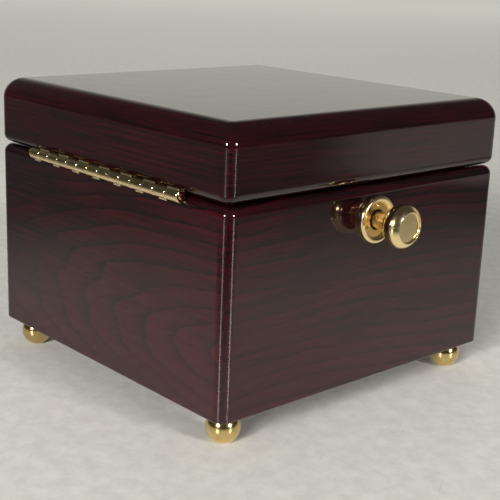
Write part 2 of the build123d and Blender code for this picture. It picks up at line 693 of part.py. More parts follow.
def click_work():
    """The click that drops behind each ratchet tooth, its pivot screw and its spring."""
    x_low = RATCHET_X + (RATCHET_THICKNESS - CLICK_THICKNESS) / 2
    x_high = x_low + CLICK_THICKNESS
    tip_rise = RATCHET_RADIUS - CLICK_BITE
    top = CLICK_PIVOT_RISE + CLICK_ARM_HALF
    outline = [
        (CLICK_FACE_GAP, tip_rise),
        (CLICK_NOSE_BOTTOM_Y, RATCHET_RADIUS + CLICK_FACE_GAP),
        (CLICK_PIVOT_Y, CLICK_PIVOT_RISE - CLICK_ARM_HALF),
        (CLICK_PIVOT_Y, top),
        (CLICK_NOSE_TOP_Y, top),
        (CLICK_FACE_GAP, tip_rise + CLICK_NOSE_HEIGHT),
    ]
    pivot_y = WIND_Y + CLICK_PIVOT_Y
    pivot_z = WIND_Z + CLICK_PIVOT_RISE
    arm = plate_x(x_low, x_high, about(WIND_Y, WIND_Z, outline))
    arm += rod_x(x_low, x_high, pivot_y, pivot_z, CLICK_EYE_RADIUS)
    nodes["click"] = arm - rod_x(x_low, x_high, pivot_y, pivot_z, CLICK_PIN_RADIUS + RUNNING_CLEARANCE)
    head_x = x_low - RUNNING_CLEARANCE
    pin = rod_x(head_x, LEFT_COCK_X + COCK_THICKNESS, pivot_y, pivot_z, CLICK_PIN_RADIUS)
    head = rod_x(head_x - CLICK_HEAD, head_x, pivot_y, pivot_z, CLICK_EYE_RADIUS)
    collar = rod_x(x_high + RUNNING_CLEARANCE, LEFT_COCK_X, pivot_y, pivot_z, CLICK_EYE_RADIUS)
    nodes["click_screw"] = head + pin + collar
    low = WIND_Z + top + RUNNING_CLEARANCE
    high = low + CLICK_SPRING_THICKNESS
    post_end = pivot_y - CLICK_EYE_RADIUS
    post_start = post_end - CLICK_POST
    strip = box((x_low, WIND_Y + CLICK_NOSE_BOTTOM_Y, low), (x_high, post_end, high))
    post = box((x_low, post_start, high), (LEFT_COCK_X, post_end, high + CLICK_POST))
    nodes["click_spring"] = strip + post


def power():
    """The spring barrel with the great wheel on its rim, its cover and the mainspring."""
    great = gear_x(GREAT_TEETH, GREAT_MODULE, CYLINDER_DIRECTION, GREAT_X, GREAT_X + WHEEL_THICKNESS,
                   WIND_Y, WIND_Z)
    drum = great + tube_x(DRUM_X, GREAT_X, WIND_Y, WIND_Z, DRUM_RADIUS, DRUM_RADIUS - DRUM_WALL)
    bore = ARBOR_RADIUS + RUNNING_CLEARANCE
    nodes["barrel_drum"] = drum - rod_x(GREAT_X, GREAT_X + WHEEL_THICKNESS, WIND_Y, WIND_Z, bore)
    cover_radius = DRUM_RADIUS - DRUM_WALL - STUD_CLEARANCE
    nodes["barrel_cover"] = tube_x(DRUM_X, DRUM_X + DRUM_COVER, WIND_Y, WIND_Z, cover_radius, bore)
    nodes["mainspring"] = mainspring()


def mainspring():
    """A flat strip wound in half circles about two centres."""
    shift = SPRING_PITCH / 2
    outer_turn = DRUM_RADIUS - DRUM_WALL - STUD_CLEARANCE - SPRING_STRIP / 2
    inner_turn = outer_turn - SPRING_TURNS * SPRING_PITCH
    outside = []
    inside = []
    for half in range(2 * SPRING_TURNS):
        radius = inner_turn + half * shift
        centre = 0 if half % 2 == 0 else shift
        facing = 1 if half % 2 == 0 else -1
        for offset, edges in ((SPRING_STRIP / 2, outside), (-SPRING_STRIP / 2, inside)):
            reach = radius + offset
            edges.append(ThreePointArc(
                (centre + facing * reach, 0), (centre, facing * reach), (centre - facing * reach, 0)
            ))
    half_strip = SPRING_STRIP / 2
    last = inner_turn + (2 * SPRING_TURNS - 1) * shift + shift
    ends = [
        Line((inner_turn - half_strip, 0), (inner_turn + half_strip, 0)),
        Line((last - half_strip, 0), (last + half_strip, 0)),
    ]
    x_low = DRUM_X + DRUM_COVER + SPRING_SIDE_GAP
    side = Plane(origin=(x_low, WIND_Y, WIND_Z), x_dir=(0, 1, 0), z_dir=(1, 0, 0))
    strip = make_face(outside + inside + ends)
    return extrude(side * strip, amount=GREAT_X - SPRING_SIDE_GAP - x_low)


def tune():
    """The pinned cylinder with its arbor, cap and wheel."""
    x_end = CYLINDER_X + CYLINDER_LENGTH
    seat = CYLINDER_ARBOR_RADIUS + STUD_CLEARANCE
    shell = rod_x(CYLINDER_X, x_end, CYL_Y, CYL_Z, CYLINDER_RADIUS)
    shell -= rod_x(CYLINDER_X + CYLINDER_END, x_end, CYL_Y, CYL_Z, CYLINDER_RADIUS - CYLINDER_WALL)
    shell -= rod_x(CYLINDER_X, x_end, CYL_Y, CYL_Z, seat)
    pin_root = CYLINDER_RADIUS - CYLINDER_WALL / 2
    pins = []
    for count in range(COMB_TEETH * TUNE_PINS_PER_TOOTH):
        x = tooth_x(count % COMB_TEETH)
        angle = count * TUNE_STEP_ANGLE
        pin = Cylinder(TUNE_PIN_RADIUS, PINNED_RADIUS - pin_root, align=LOW)
        pins.append(Pos(x, CYL_Y, CYL_Z) * Rot(angle, 0, 0) * Pos(0, 0, pin_root) * pin)
    nodes["pin_cylinder"] = shell + pins
    cap = CYLINDER_RADIUS - CYLINDER_WALL - STUD_CLEARANCE
    nodes["cylinder_cap"] = tube_x(x_end - CYLINDER_END, x_end, CYL_Y, CYL_Z, cap, seat)
    pinion_low = GREAT_X - PINION_OVERLAP
    pinion_high = GREAT_X + WHEEL_THICKNESS + PINION_OVERLAP
    gap_angle = CYLINDER_DIRECTION + 180 + 180 / CYLINDER_PINION_TEETH
    arbor = gear_x(CYLINDER_PINION_TEETH, GREAT_MODULE, gap_angle, pinion_low, pinion_high, CYL_Y, CYL_Z)
    arbor += rod_x(pinion_low, RIGHT_COCK_X + COCK_THICKNESS, CYL_Y, CYL_Z, CYLINDER_ARBOR_RADIUS)
    nodes["cylinder_arbor"] = arbor
    wheel_end = CYL_WHEEL_X + WHEEL_THICKNESS
    wheel = gear_x(CYLINDER_WHEEL_TEETH, TRAIN_MODULE, TRAIN_DIRECTION, CYL_WHEEL_X, wheel_end, CYL_Y, CYL_Z)
    nodes["cylinder_wheel"] = wheel - rod_x(CYL_WHEEL_X, wheel_end, CYL_Y, CYL_Z, seat)


def tooth_x(tooth):
    """The middle of one comb tooth along the cylinder."""
    return COMB_MIDDLE_X + (tooth - (COMB_TEETH - 1) / 2) * COMB_PITCH


def comb_work():
    """The tuned steel comb, the block that it is screwed to and its screws."""
    low_x = COMB_MIDDLE_X - COMB_WIDTH / 2
    high_x = COMB_MIDDLE_X + COMB_WIDTH / 2
    comb_z = CYL_Z - COMB_THICKNESS / 2
    comb = box((low_x, COMB_BACK_Y, comb_z), (high_x, COMB_TIP_Y, comb_z + COMB_THICKNESS))
    for tooth in range(COMB_TEETH - 1):
        middle = (tooth_x(tooth) + tooth_x(tooth + 1)) / 2
        share = tooth / (COMB_TEETH - 2)
        length = COMB_BASS_TOOTH + share * (COMB_TREBLE_TOOTH - COMB_BASS_TOOTH)
        comb -= box(
            (middle - COMB_SLOT / 2, COMB_TIP_Y - length, comb_z),
            (middle + COMB_SLOT / 2, COMB_TIP_Y, comb_z + COMB_THICKNESS),
        )
    block = box((low_x, COMB_BACK_Y, BED_Z), (high_x, COMB_ROOT_Y - COMB_SLOT, comb_z))
    screws = []
    screw_y = (COMB_BACK_Y + COMB_ROOT_Y) / 2
    length = COMB_THICKNESS + SCREW_BITE
    for share in (-1 / 3, 0, 1 / 3):
        x = COMB_MIDDLE_X + share * COMB_WIDTH
        seat = comb_z + COMB_THICKNESS
        comb -= screw_hole(x, screw_y, comb_z, seat)
        block -= screw_hole(x, screw_y, seat - length - JOIN_CLEARANCE, comb_z)
        screws.append(screw(x, screw_y, seat, length))
    nodes["comb"] = comb
    nodes["comb_base"] = block
    nodes["comb_screws"] = Compound(children=screws)


def speed():
    """The train arbor with the worm wheel, and the governor with its worm and fan."""
    pinion_low = CYL_WHEEL_X - PINION_OVERLAP
    pinion_high = CYL_WHEEL_X + WHEEL_THICKNESS + PINION_OVERLAP
    gap_angle = TRAIN_DIRECTION + 180 + 180 / TRAIN_PINION_TEETH
    arbor = gear_x(TRAIN_PINION_TEETH, TRAIN_MODULE, gap_angle, pinion_low, pinion_high, TRAIN_Y, TRAIN_Z)
    arbor += rod_x(pinion_low, GOV_COCK_X + COCK_THICKNESS, TRAIN_Y, TRAIN_Z, TRAIN_ARBOR_RADIUS)
    nodes["train_arbor"] = arbor
    lead = WORM_STARTS * pi * WORM_MODULE
    slope = lead / (2 * pi * WORM_PITCH_RADIUS)
    twist = degrees(WHEEL_THICKNESS * slope / WORM_WHEEL_RADIUS)
    tooth_angle = 180 + 180 / WORM_WHEEL_TEETH - twist / 2
    side = Plane(origin=(WORM_WHEEL_X, TRAIN_Y, TRAIN_Z), x_dir=(0, 1, 0), z_dir=(1, 0, 0))
    outline = (side * gear_face(WORM_WHEEL_TEETH, WORM_MODULE, tooth_angle)).face()
    wheel = Solid.extrude_linear_with_rotation(
        outline, (WORM_WHEEL_X, TRAIN_Y, TRAIN_Z), (WHEEL_THICKNESS, 0, 0), twist
    )
    bore = TRAIN_ARBOR_RADIUS + STUD_CLEARANCE
    wheel_end = WORM_WHEEL_X + WHEEL_THICKNESS
    nodes["worm_wheel"] = Part() + wheel - rod_x(WORM_WHEEL_X, wheel_end, TRAIN_Y, TRAIN_Z, bore)
    governor(lead)


def governor(lead):
    """The upright shaft with a two-start worm, and the fan that holds its speed."""
    thread_turn = 360 * WORM_LENGTH / lead
    section = Rot(0, 0, 90 - thread_turn / 2) * Ellipse(WORM_TIP_RADIUS, WORM_ROOT_RADIUS)
    worm = Solid.extrude_linear_with_rotation(section.face(), (0, 0, 0), (0, 0, WORM_LENGTH), thread_turn)
    shaft = rod_z(GOV_X, GOV_Y, BED_Z - GOVERNOR_PIVOT_DEPTH, ARM_Z + GOVERNOR_ARM, GOVERNOR_SHAFT_RADIUS)
    nodes["governor_shaft"] = shaft + Pos(GOV_X, GOV_Y, WORM_Z) * worm
    hub_top = HUB_Z + FAN_HUB_HEIGHT
    fan = rod_z(GOV_X, GOV_Y, HUB_Z, hub_top, FAN_HUB_RADIUS)
    fan += rod_z(GOV_X, GOV_Y, FAN_Z, HUB_Z, FAN_BOSS_RADIUS)
    fan += box(
        (GOV_X - FAN_RADIUS, GOV_Y - FAN_BLADE / 2, FAN_Z),
        (GOV_X + FAN_RADIUS, GOV_Y + FAN_BLADE / 2, HUB_Z),
    )
    nodes["governor_fan"] = fan - rod_z(GOV_X, GOV_Y, FAN_Z, hub_top, GOVERNOR_SHAFT_RADIUS + STUD_CLEARANCE)


def cock(x, outline, foot_x, foot_y, bores, screw_places):
    """An upright bearing plate with a screwed foot."""
    plate = plate_x(x, x + COCK_THICKNESS, outline)
    plate += box((foot_x[0], foot_y[0], BED_Z), (foot_x[1], foot_y[1], BED_Z + COCK_FOOT))
    for y, z, radius in bores:
        plate -= rod_x(x, x + COCK_THICKNESS, y, z, radius + RUNNING_CLEARANCE)
    for place_x, place_y in screw_places:
        plate -= screw_hole(place_x, place_y, BED_Z, BED_Z + COCK_FOOT)
    return plate


def frame_work():
    """The bedplate and the cocks that carry every arbor, with their screws."""
    cock_screws = []
    spread = SCREW_HEAD_RADIUS + BED_MARGIN

    left_end = LEFT_COCK_X + COCK_THICKNESS
    left_low = WIND_Y - ARBOR_RADIUS - COCK_EDGE
    left_high = WIND_Y + CLICK_PIVOT_Y + CLICK_EYE_RADIUS + RUNNING_CLEARANCE
    left_top = WIND_Z + CLICK_PIVOT_RISE + CLICK_EYE_RADIUS
    places = [(left_end + COCK_FOOT_LENGTH / 2, y) for y in (left_low + spread, left_high - spread)]
    outline = [(left_low, BED_Z), (left_high, BED_Z), (left_high, left_top), (left_low, left_top)]
    plate = cock(
        LEFT_COCK_X, outline, (LEFT_COCK_X, left_end + COCK_FOOT_LENGTH), (left_low, left_high),
        [(WIND_Y, WIND_Z, ARBOR_RADIUS)], places,
    )
    click_hole = CLICK_PIN_RADIUS + STUD_CLEARANCE
    plate -= rod_x(LEFT_COCK_X, left_end, WIND_Y + CLICK_PIVOT_Y, WIND_Z + CLICK_PIVOT_RISE, click_hole)
    nodes["left_cock"] = plate
    cock_screws += places

    low = WIND_Y - ARBOR_PIVOT_RADIUS - COCK_EDGE
    high = CYL_Y + CYLINDER_ARBOR_RADIUS + COCK_EDGE
    top = WIND_Z + ARBOR_PIVOT_RADIUS + COCK_EDGE / 2
    foot_start = CENTRE_COCK_X - COCK_FOOT_LENGTH
    places = [(foot_start + COCK_FOOT_LENGTH / 2, y) for y in (low + spread, high - spread)]
    step = CYL_Z + COCK_EDGE
    outline = [(low, BED_Z), (high, BED_Z), (high, step), (WIND_Y + COCK_EDGE, top), (low, top)]
    nodes["centre_cock"] = cock(
        CENTRE_COCK_X, outline, (foot_start, CENTRE_COCK_X + COCK_THICKNESS), (low, high),
        [(WIND_Y, WIND_Z, ARBOR_PIVOT_RADIUS), (CYL_Y, CYL_Z, CYLINDER_ARBOR_RADIUS)], places,
    )
    cock_screws += places

    right_end = RIGHT_COCK_X + COCK_THICKNESS
    low = TRAIN_Y - TRAIN_ARBOR_RADIUS - COCK_EDGE / 2
    foot_low = TRAIN_Y + tip_radius(WORM_WHEEL_TEETH, WORM_MODULE) + BED_MARGIN
    foot_high = max(high, foot_low + 4 * SCREW_HEAD_RADIUS + 2 * BED_MARGIN)
    places = [
        (right_end + COCK_FOOT_LENGTH / 2, y)
        for y in (foot_low + SCREW_HEAD_RADIUS, foot_high - SCREW_HEAD_RADIUS)
    ]
    top = CYL_Z + COCK_EDGE
    outline = [(low, BED_Z), (foot_high, BED_Z), (foot_high, top)]
    outline += [(CYL_Y - COCK_EDGE, top), (low, TRAIN_Z + COCK_EDGE)]
    nodes["right_cock"] = cock(
        RIGHT_COCK_X, outline, (RIGHT_COCK_X, right_end + COCK_FOOT_LENGTH), (foot_low, foot_high),
        [(CYL_Y, CYL_Z, CYLINDER_ARBOR_RADIUS), (TRAIN_Y, TRAIN_Z, TRAIN_ARBOR_RADIUS)], places,
    )
    cock_screws += places

    places = governor_cock()
    cock_screws += places
    bedplate(cock_screws)


def governor_cock():
    """The bearing plate and arm that hold the train arbor's end and the top of the governor."""
    plate_end = GOV_COCK_X + COCK_THICKNESS
    low = TRAIN_Y - TRAIN_ARBOR_RADIUS - COCK_EDGE / 2
    high = TRAIN_Y + TRAIN_ARBOR_RADIUS + COCK_EDGE
    arm_low = GOV_Y - GOVERNOR_ARM_WIDTH / 2
    arm_high = GOV_Y + GOVERNOR_ARM_WIDTH / 2
    top = TRAIN_Z + COCK_EDGE
    middle = (plate_end + PILLAR_X) / 2
    places = [(middle, GOV_Y), (middle, high - SCREW_HEAD_RADIUS)]
    foot_low = GOV_Y - SCREW_HEAD_RADIUS - BED_MARGIN
    plate = cock(
        GOV_COCK_X, [(low, BED_Z), (high, BED_Z), (high, top), (low, top)],
        (GOV_COCK_X, PILLAR_X + GOVERNOR_PILLAR), (foot_low, high),
        [(TRAIN_Y, TRAIN_Z, TRAIN_ARBOR_RADIUS)], places,
    )
    pillar_end = PILLAR_X + GOVERNOR_PILLAR
    plate += box((PILLAR_X, arm_low, BED_Z), (pillar_end, arm_high, ARM_Z + GOVERNOR_ARM))
    plate += box((GOV_X, arm_low, ARM_Z), (pillar_end, arm_high, ARM_Z + GOVERNOR_ARM))
    plate += rod_z(GOV_X, GOV_Y, ARM_Z, ARM_Z + GOVERNOR_ARM, GOVERNOR_ARM_WIDTH / 2)
    bore = GOVERNOR_SHAFT_RADIUS + RUNNING_CLEARANCE
    nodes["governor_cock"] = plate - rod_z(GOV_X, GOV_Y, ARM_Z, ARM_Z + GOVERNOR_ARM, bore)
    return places


def bedplate(cock_screws):
    """The brass bedplate, screwed to the sound board."""
    plate = box((BED_LEFT_X, BED_FRONT_Y, BOARD_Z), (BED_RIGHT_X, BED_BACK_Y, BED_Z))
    plate -= rod_z(GOV_X, GOV_Y, BED_Z - GOVERNOR_PIVOT_DEPTH - JOIN_CLEARANCE, BED_Z,
                   GOVERNOR_SHAFT_RADIUS + RUNNING_CLEARANCE)
    screws = []
    for x, y in cock_screws:
        length = COCK_FOOT + SCREW_BITE
        seat = BED_Z + COCK_FOOT
        plate -= screw_hole(x, y, seat - length - JOIN_CLEARANCE, BED_Z)
        screws.append(screw(x, y, seat, length))
    inset = SCREW_HEAD_RADIUS + BED_MARGIN
    board_x = INNER_X - FIT_GAP
    board_y = INNER_Y - FIT_GAP
    board = box((-board_x, -board_y, BOARD_Z - SOUND_BOARD), (board_x, board_y, BOARD_Z))
    for x in (BED_LEFT_X + inset, BED_RIGHT_X - inset):
        for y in (BED_FRONT_Y + inset, BED_BACK_Y - inset):
            length = BED_THICKNESS + SCREW_BITE
            plate -= screw_hole(x, y, BOARD_Z, BED_Z)
            board -= screw_hole(x, y, BED_Z - length - JOIN_CLEARANCE, BOARD_Z)
            screws.append(screw(x, y, BED_Z, length))
    nodes["bedplate"] = plate
    nodes["sound_board"] = board
    nodes["plate_screws"] = Compound(children=screws)


def interior():
    """Cleats, partition, lined front compartment, and the glass pane over the movement."""
    board_low = BOARD_Z - SOUND_BOARD
    reach_y = INNER_Y - FIT_GAP
    cleats = []
    for side in (-1, 1):
        near = side * INNER_X
        far = side * (INNER_X - CLEAT)
        low = (min(near, far), -reach_y, board_low - CLEAT)
        cleats.append(box(low, (max(near, far), reach_y, board_low)))
    nodes["sound_board_cleats"] = Compound(children=cleats)
    nodes["partition"] = box((-INNER_X, PARTITION_FRONT_Y, BOARD_Z), (INNER_X, PARTITION_BACK_Y, PANE_Z))
    reach_x = INNER_X - JOIN_CLEARANCE
    front = -INNER_Y + JOIN_CLEARANCE
    back = PARTITION_FRONT_Y - JOIN_CLEARANCE
    tray = box((-reach_x, front, BOARD_Z), (reach_x, back, PANE_Z))
    tray -= box(
        (-reach_x + LINING_SKIN, front + LINING_SKIN, BOARD_Z + LINING_SKIN),
        (reach_x - LINING_SKIN, back - LINING_SKIN, PANE_Z),
    )
    nodes["compartment_lining"] = tray
    ledge_corner = (-INNER_X, INNER_Y - PANE_LEDGE, PANE_Z - PANE_LEDGE_HEIGHT)
    nodes["pane_ledge"] = box(ledge_corner, (INNER_X, INNER_Y, PANE_Z))
    pane_x = INNER_X - FIT_GAP
    pane = box((-pane_x, PARTITION_FRONT_Y, PANE_Z), (pane_x, reach_y, PANE_Z + PANE))
    swing = (PANE_Z + PANE - STOP_PIVOT_Z) * sin(radians(STOP_LIFT))
    hole = STOP_ROD_RADIUS + swing + 2 * FIT_GAP
    nodes["glass_pane"] = pane - rod_z(GOV_X, STOP_ROD_Y, PANE_Z, PANE_Z + PANE, hole)


def stop_work():
    """The lever that brakes the governor while the closed lid holds its rod down."""
    low_x = GOV_X - STOP_LEVER_WIDTH / 2
    high_x = GOV_X + STOP_LEVER_WIDTH / 2
    lever_top = STOP_LEVER_Z + STOP_LEVER_HEIGHT
    eye = STOP_LEVER_HEIGHT / 2 + STOP_PIN_RADIUS
    lever = box((low_x, STOP_TIP_Y, STOP_LEVER_Z), (high_x, STOP_PIVOT_Y, lever_top))
    pad_end = GOV_Y + FAN_HUB_RADIUS
    lever += box((low_x, STOP_TIP_Y, STOP_PAD_Z), (high_x, pad_end, STOP_LEVER_Z))
    lever += rod_x(low_x, high_x, STOP_PIVOT_Y, STOP_PIVOT_Z, eye)
    lever += rod_z(GOV_X, STOP_ROD_Y, STOP_LEVER_Z, lever_top, STOP_BOSS_RADIUS)
    lever -= rod_x(low_x, high_x, STOP_PIVOT_Y, STOP_PIVOT_Z, STOP_PIN_RADIUS + RUNNING_CLEARANCE)
    lever -= rod_z(GOV_X, STOP_ROD_Y, STOP_LEVER_Z, lever_top, STOP_TENON_RADIUS + STUD_CLEARANCE)
    nodes["stop_lever"] = lever
    tenon = rod_z(GOV_X, STOP_ROD_Y, STOP_LEVER_Z, lever_top, STOP_TENON_RADIUS)
    rod = rod_z(GOV_X, STOP_ROD_Y, lever_top, LINING_Z - STOP_ROD_LID_GAP, STOP_ROD_RADIUS)
    nodes["stop_push_rod"] = tenon + rod

    inner = STOP_LEVER_WIDTH / 2 + STOP_CHEEK_GAP
    outer = inner + STOP_CHEEK
    cheek_low = STOP_PIVOT_Y - eye
    cheek_high = STOP_PIVOT_Y + eye
    cheek_top = STOP_PIVOT_Z + eye
    ledge_low = STOP_SPRING_Y - STOP_SPRING_RADIUS - 2 * STOP_SPRING_WIRE
    ledge_z = STOP_LEVER_Z - STOP_SPRING_LENGTH
    base_top = BOARD_Z + STOP_BRACKET_BASE
    flange = outer + STOP_BRACKET_FLANGE
    bracket = box((GOV_X - flange, ledge_low, BOARD_Z), (GOV_X + flange, cheek_high, base_top))
    for side in (-1, 1):
        near = GOV_X + side * inner
        far = GOV_X + side * outer
        bracket += box((min(near, far), cheek_low, base_top), (max(near, far), cheek_high, cheek_top))
    bracket += box((GOV_X - outer, ledge_low, base_top), (GOV_X + outer, cheek_low, ledge_z))
    pin_low = GOV_X - outer
    pin_high = GOV_X + outer
    hole = STOP_PIN_RADIUS + STUD_CLEARANCE
    nodes["stop_bracket"] = bracket - rod_x(pin_low, pin_high, STOP_PIVOT_Y, STOP_PIVOT_Z, hole)
    nodes["stop_pin"] = rod_x(pin_low, pin_high, STOP_PIVOT_Y, STOP_PIVOT_Z, STOP_PIN_RADIUS)
    nodes["stop_spring"] = coil_spring(ledge_z)


def coil_spring(seat_z):
    """A small coil that lifts the lever when the lid lets go of it."""
    height = STOP_SPRING_LENGTH - 2 * STOP_SPRING_WIRE
    path = Helix(height / STOP_SPRING_TURNS, height, STOP_SPRING_RADIUS)
    section = Plane(origin=path @ 0, z_dir=path % 0) * Circle(STOP_SPRING_WIRE)
    coil = sweep(section, path=path, is_frenet=True)
    return Pos(GOV_X, STOP_SPRING_Y, seat_z + STOP_SPRING_WIRE) * coil


case_bodywork()
feet()
lid_bodywork()
lid_bumpers()
hinge()
escutcheon()
winding()
click_work()
power()
tune()
comb_work()
speed()
frame_work()
interior()
stop_work()

os.makedirs("parts", exist_ok=True)
for name, shape in nodes.items():
    export_step(shape, "parts/" + name + ".step")
print(len(nodes), "pieces written")
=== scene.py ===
# %% [markdown]
# # A wind-up music box in lacquered wood
#
# The real thing is a dark red wooden box under a thick, mirror-bright lacquer. It stands on four brass
# ball feet, its lid swings on a long brass hinge, and a brass knob on one side winds the movement.
# The solid model already has every piece at its real size, so this lesson is about the looks:
# the finish of each surface, the soft lining inside, the light and the camera.

# %% Load the solid model
import json
from math import cos, pi, radians, sin

import bmesh
import bpy
from mathutils import Matrix, Vector


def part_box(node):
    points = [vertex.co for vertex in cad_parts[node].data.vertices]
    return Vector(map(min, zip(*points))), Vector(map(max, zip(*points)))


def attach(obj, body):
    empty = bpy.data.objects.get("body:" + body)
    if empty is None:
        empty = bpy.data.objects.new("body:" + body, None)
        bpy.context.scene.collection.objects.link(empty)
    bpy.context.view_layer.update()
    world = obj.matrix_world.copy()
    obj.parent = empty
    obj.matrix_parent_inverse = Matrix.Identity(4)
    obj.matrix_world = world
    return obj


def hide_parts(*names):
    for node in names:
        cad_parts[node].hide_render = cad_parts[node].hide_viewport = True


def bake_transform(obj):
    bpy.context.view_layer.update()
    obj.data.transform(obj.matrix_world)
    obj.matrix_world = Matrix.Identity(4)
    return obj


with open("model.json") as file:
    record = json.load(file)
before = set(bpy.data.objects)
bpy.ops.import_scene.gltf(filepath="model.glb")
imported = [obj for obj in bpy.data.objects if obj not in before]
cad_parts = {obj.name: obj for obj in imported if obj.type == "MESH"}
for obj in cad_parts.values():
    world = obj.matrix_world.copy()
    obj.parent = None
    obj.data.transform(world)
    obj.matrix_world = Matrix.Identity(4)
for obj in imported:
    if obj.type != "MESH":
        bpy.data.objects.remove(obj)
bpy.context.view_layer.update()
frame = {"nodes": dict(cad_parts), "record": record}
nodes = frame["nodes"]
MM = 0.001
X, Y, Z = 0, 1, 2

# %% [markdown]
# ## The camera
#
# The box was seen from a little above its rim, with the hinge on the left and the knob on the right.
# A camera could be nudged about until the picture looks right. Here its place, direction and lens were
# worked out from the straight edges of the box instead, so the perspective is right at once and only
# the surfaces are left to judge. The small roll is the tilt of a hand-held camera.

# %% Place the camera
CAMERA_PLACE = Vector((-287.05, 259.12, 147.36)) * MM
CAMERA_AZIMUTH = radians(227.495)
CAMERA_ELEVATION = radians(15.443)
CAMERA_ROLL = radians(2.25)
CAMERA_LENS = 77.88
scene = bpy.context.scene


def put_in_scene(name, data):
    """A new object round a mesh, a lamp or a camera."""
    made = bpy.data.objects.new(name, data)
    scene.collection.objects.link(made)
    return made


camera_data = bpy.data.cameras.new("camera")
camera_data.lens = CAMERA_LENS
camera_data.clip_start = MM
camera = put_in_scene("camera", camera_data)
look_back = Vector((
    sin(CAMERA_AZIMUTH) * cos(CAMERA_ELEVATION),
    -cos(CAMERA_AZIMUTH) * cos(CAMERA_ELEVATION),
    sin(CAMERA_ELEVATION),
))
facing = look_back.to_track_quat("Z", "Y").to_matrix().to_4x4()
camera.matrix_world = Matrix.Translation(CAMERA_PLACE) @ facing @ Matrix.Rotation(CAMERA_ROLL, 4, "Z")
scene.camera = camera
scene.view_settings.view_transform = "Standard"
print("camera", round(CAMERA_PLACE.length, 3), "m from the origin")

# %% [markdown]
# ## Shader maths as Python
#
# A finish is a small calculation: take the place on the surface, bend it, turn it into rings and
# fibres, and mix colours with the answer. Blender does such sums with Math nodes, which could be made
# and linked one by one. Long sums are hard to read that way, so one small class wraps a socket, and
# `1 - mask` or `rings * 0.4 + fibre` then adds the nodes by itself.

# %% A socket that does sums
class Wire:
    """An output socket. Sums with it add Math nodes to its tree."""

    def __init__(self, finish, socket):
        self.finish = finish
        self.socket = socket

    def __add__(self, other):
        return self.finish.math("ADD", self, other)

    def __sub__(self, other):
        return self.finish.math("SUBTRACT", self, other)

    def __rsub__(self, other):
        return self.finish.math("SUBTRACT", other, self)

    def __mul__(self, other):
        return self.finish.math("MULTIPLY", self, other)

    def __truediv__(self, other):
        return self.finish.math("DIVIDE", self, other)

    def __rtruediv__(self, other):
        return self.finish.math("DIVIDE", other, self)

    def __pow__(self, other):
        return self.finish.math("POWER", self, other)

    def __rpow__(self, other):
        return self.finish.math("POWER", other, self)

    __radd__ = __add__
    __rmul__ = __mul__


print("sums that also start with a number:", sorted(name for name in vars(Wire) if name.startswith("__r")))

# %% [markdown]
# The other class is a material in the making. Its `add` method makes any node: it takes the node's
# type, then the settings, then the values or wires for its sockets. The short methods below it are
# only names for sums, mixes and noises that come up again and again. Inside a finish, places and sizes
# are in millimetres, because grain and scratches are easier to think of that way.

# %% A material in the making
MM_PER_METRE = 1000
MIX_SHARE, MIX_FIRST, MIX_SECOND, MIX_COLOUR = 0, 6, 7, 2


class Finish:
    """The nodes of a material, or of the world, and the ways to add to them."""

    def __init__(self, owner, shader="Principled BSDF", **constants):
        owner.use_nodes = True
        self.owner = owner
        self.tree = owner.node_tree
        self.shader = self.tree.nodes[shader]
        self.set(**constants)

    def add(self, kind, settings=None, sockets=None, output=0):
        """Any node, as a wire from one of its outputs."""
        made = self.tree.nodes.new("ShaderNode" + kind)
        for name, value in (settings or {}).items():
            setattr(made, name, value)
        for key, value in (sockets or {}).items():
            self.feed(made.inputs[key], value)
        return Wire(self, made.outputs[output])

    def feed(self, socket, value):
        """Link a wire to a socket, or set a plain value on it."""
        if isinstance(value, Wire):
            self.tree.links.new(value.socket, socket)
        else:
            socket.default_value = value

    def set(self, **sockets):
        """Feed sockets of the shader itself."""
        for name, value in sockets.items():
            self.feed(self.shader.inputs[name.replace("_", " ")], value)

    def math(self, operation, first, second=0.0):
        """One Math node."""
        return self.add("Math", {"operation": operation}, {0: first, 1: second})

    def length(self, first, second):
        """How far a point is from the middle, from its two coordinates."""
        return self.math("SQRT", first * first + second * second)

    def rise(self, value, low, high):
        """0 below low, 1 above high, and a smooth rise between them."""
        return self.add("MapRange", {"interpolation_type": "SMOOTHSTEP"}, {0: value, 1: low, 2: high})

    def mix(self, share, first, second):
        """One colour turning into another as the share goes from 0 to 1."""
        sockets = {MIX_SHARE: share, MIX_FIRST: first, MIX_SECOND: second}
        return self.add("Mix", {"data_type": "RGBA"}, sockets, MIX_COLOUR)

    def apart(self, vector):
        """The three numbers of a vector, as three wires."""
        split = self.add("SeparateXYZ", sockets={0: vector})
        return [Wire(self, output) for output in split.socket.node.outputs]

    def place(self):
        """The place on the piece in millimetres, as three wires."""
        return [side * MM_PER_METRE for side in self.apart(self.add("TexCoord", output="Object"))]

    def noise(self, place, scale, shift=0.0, detail=2.0, roughness=0.5):
        """Noise over a place. Scale is how many blobs there are to a millimetre, each way."""
        x, y, z = (side * blobs for side, blobs in zip(place, scale))
        vector = self.add("CombineXYZ", sockets={0: x, 1: y, 2: z + shift})
        sockets = {"Vector": vector, "Scale": 1.0, "Detail": detail, "Roughness": roughness}
        return self.add("TexNoise", sockets=sockets)

    def bump(self, height, strength, distance_mm, **under):
        """Dents and ridges from a height, on top of another normal if one is given."""
        sockets = {"Height": height, "Strength": strength, "Distance": distance_mm * MM, **under}
        self.set(Normal=self.add("Bump", sockets=sockets))


def new_finish(name, **constants):
    """A new material, ready for its nodes."""
    return Finish(bpy.data.materials.new(name), **constants)


def srgb(red, green, blue):
    """A colour as a paint program names it, turned by the sRGB formula into a shader's linear values."""
    shares = [channel / 255 for channel in (red, green, blue)]
    linear = [s / 12.92 if s <= 0.04045 else ((s + 0.055) / 1.055) ** 2.4 for s in shares]
    return (*linear, 1)


BLACK = srgb(0, 0, 0)
print("brass as linear values:", [round(share, 3) for share in srgb(246, 222, 168)])

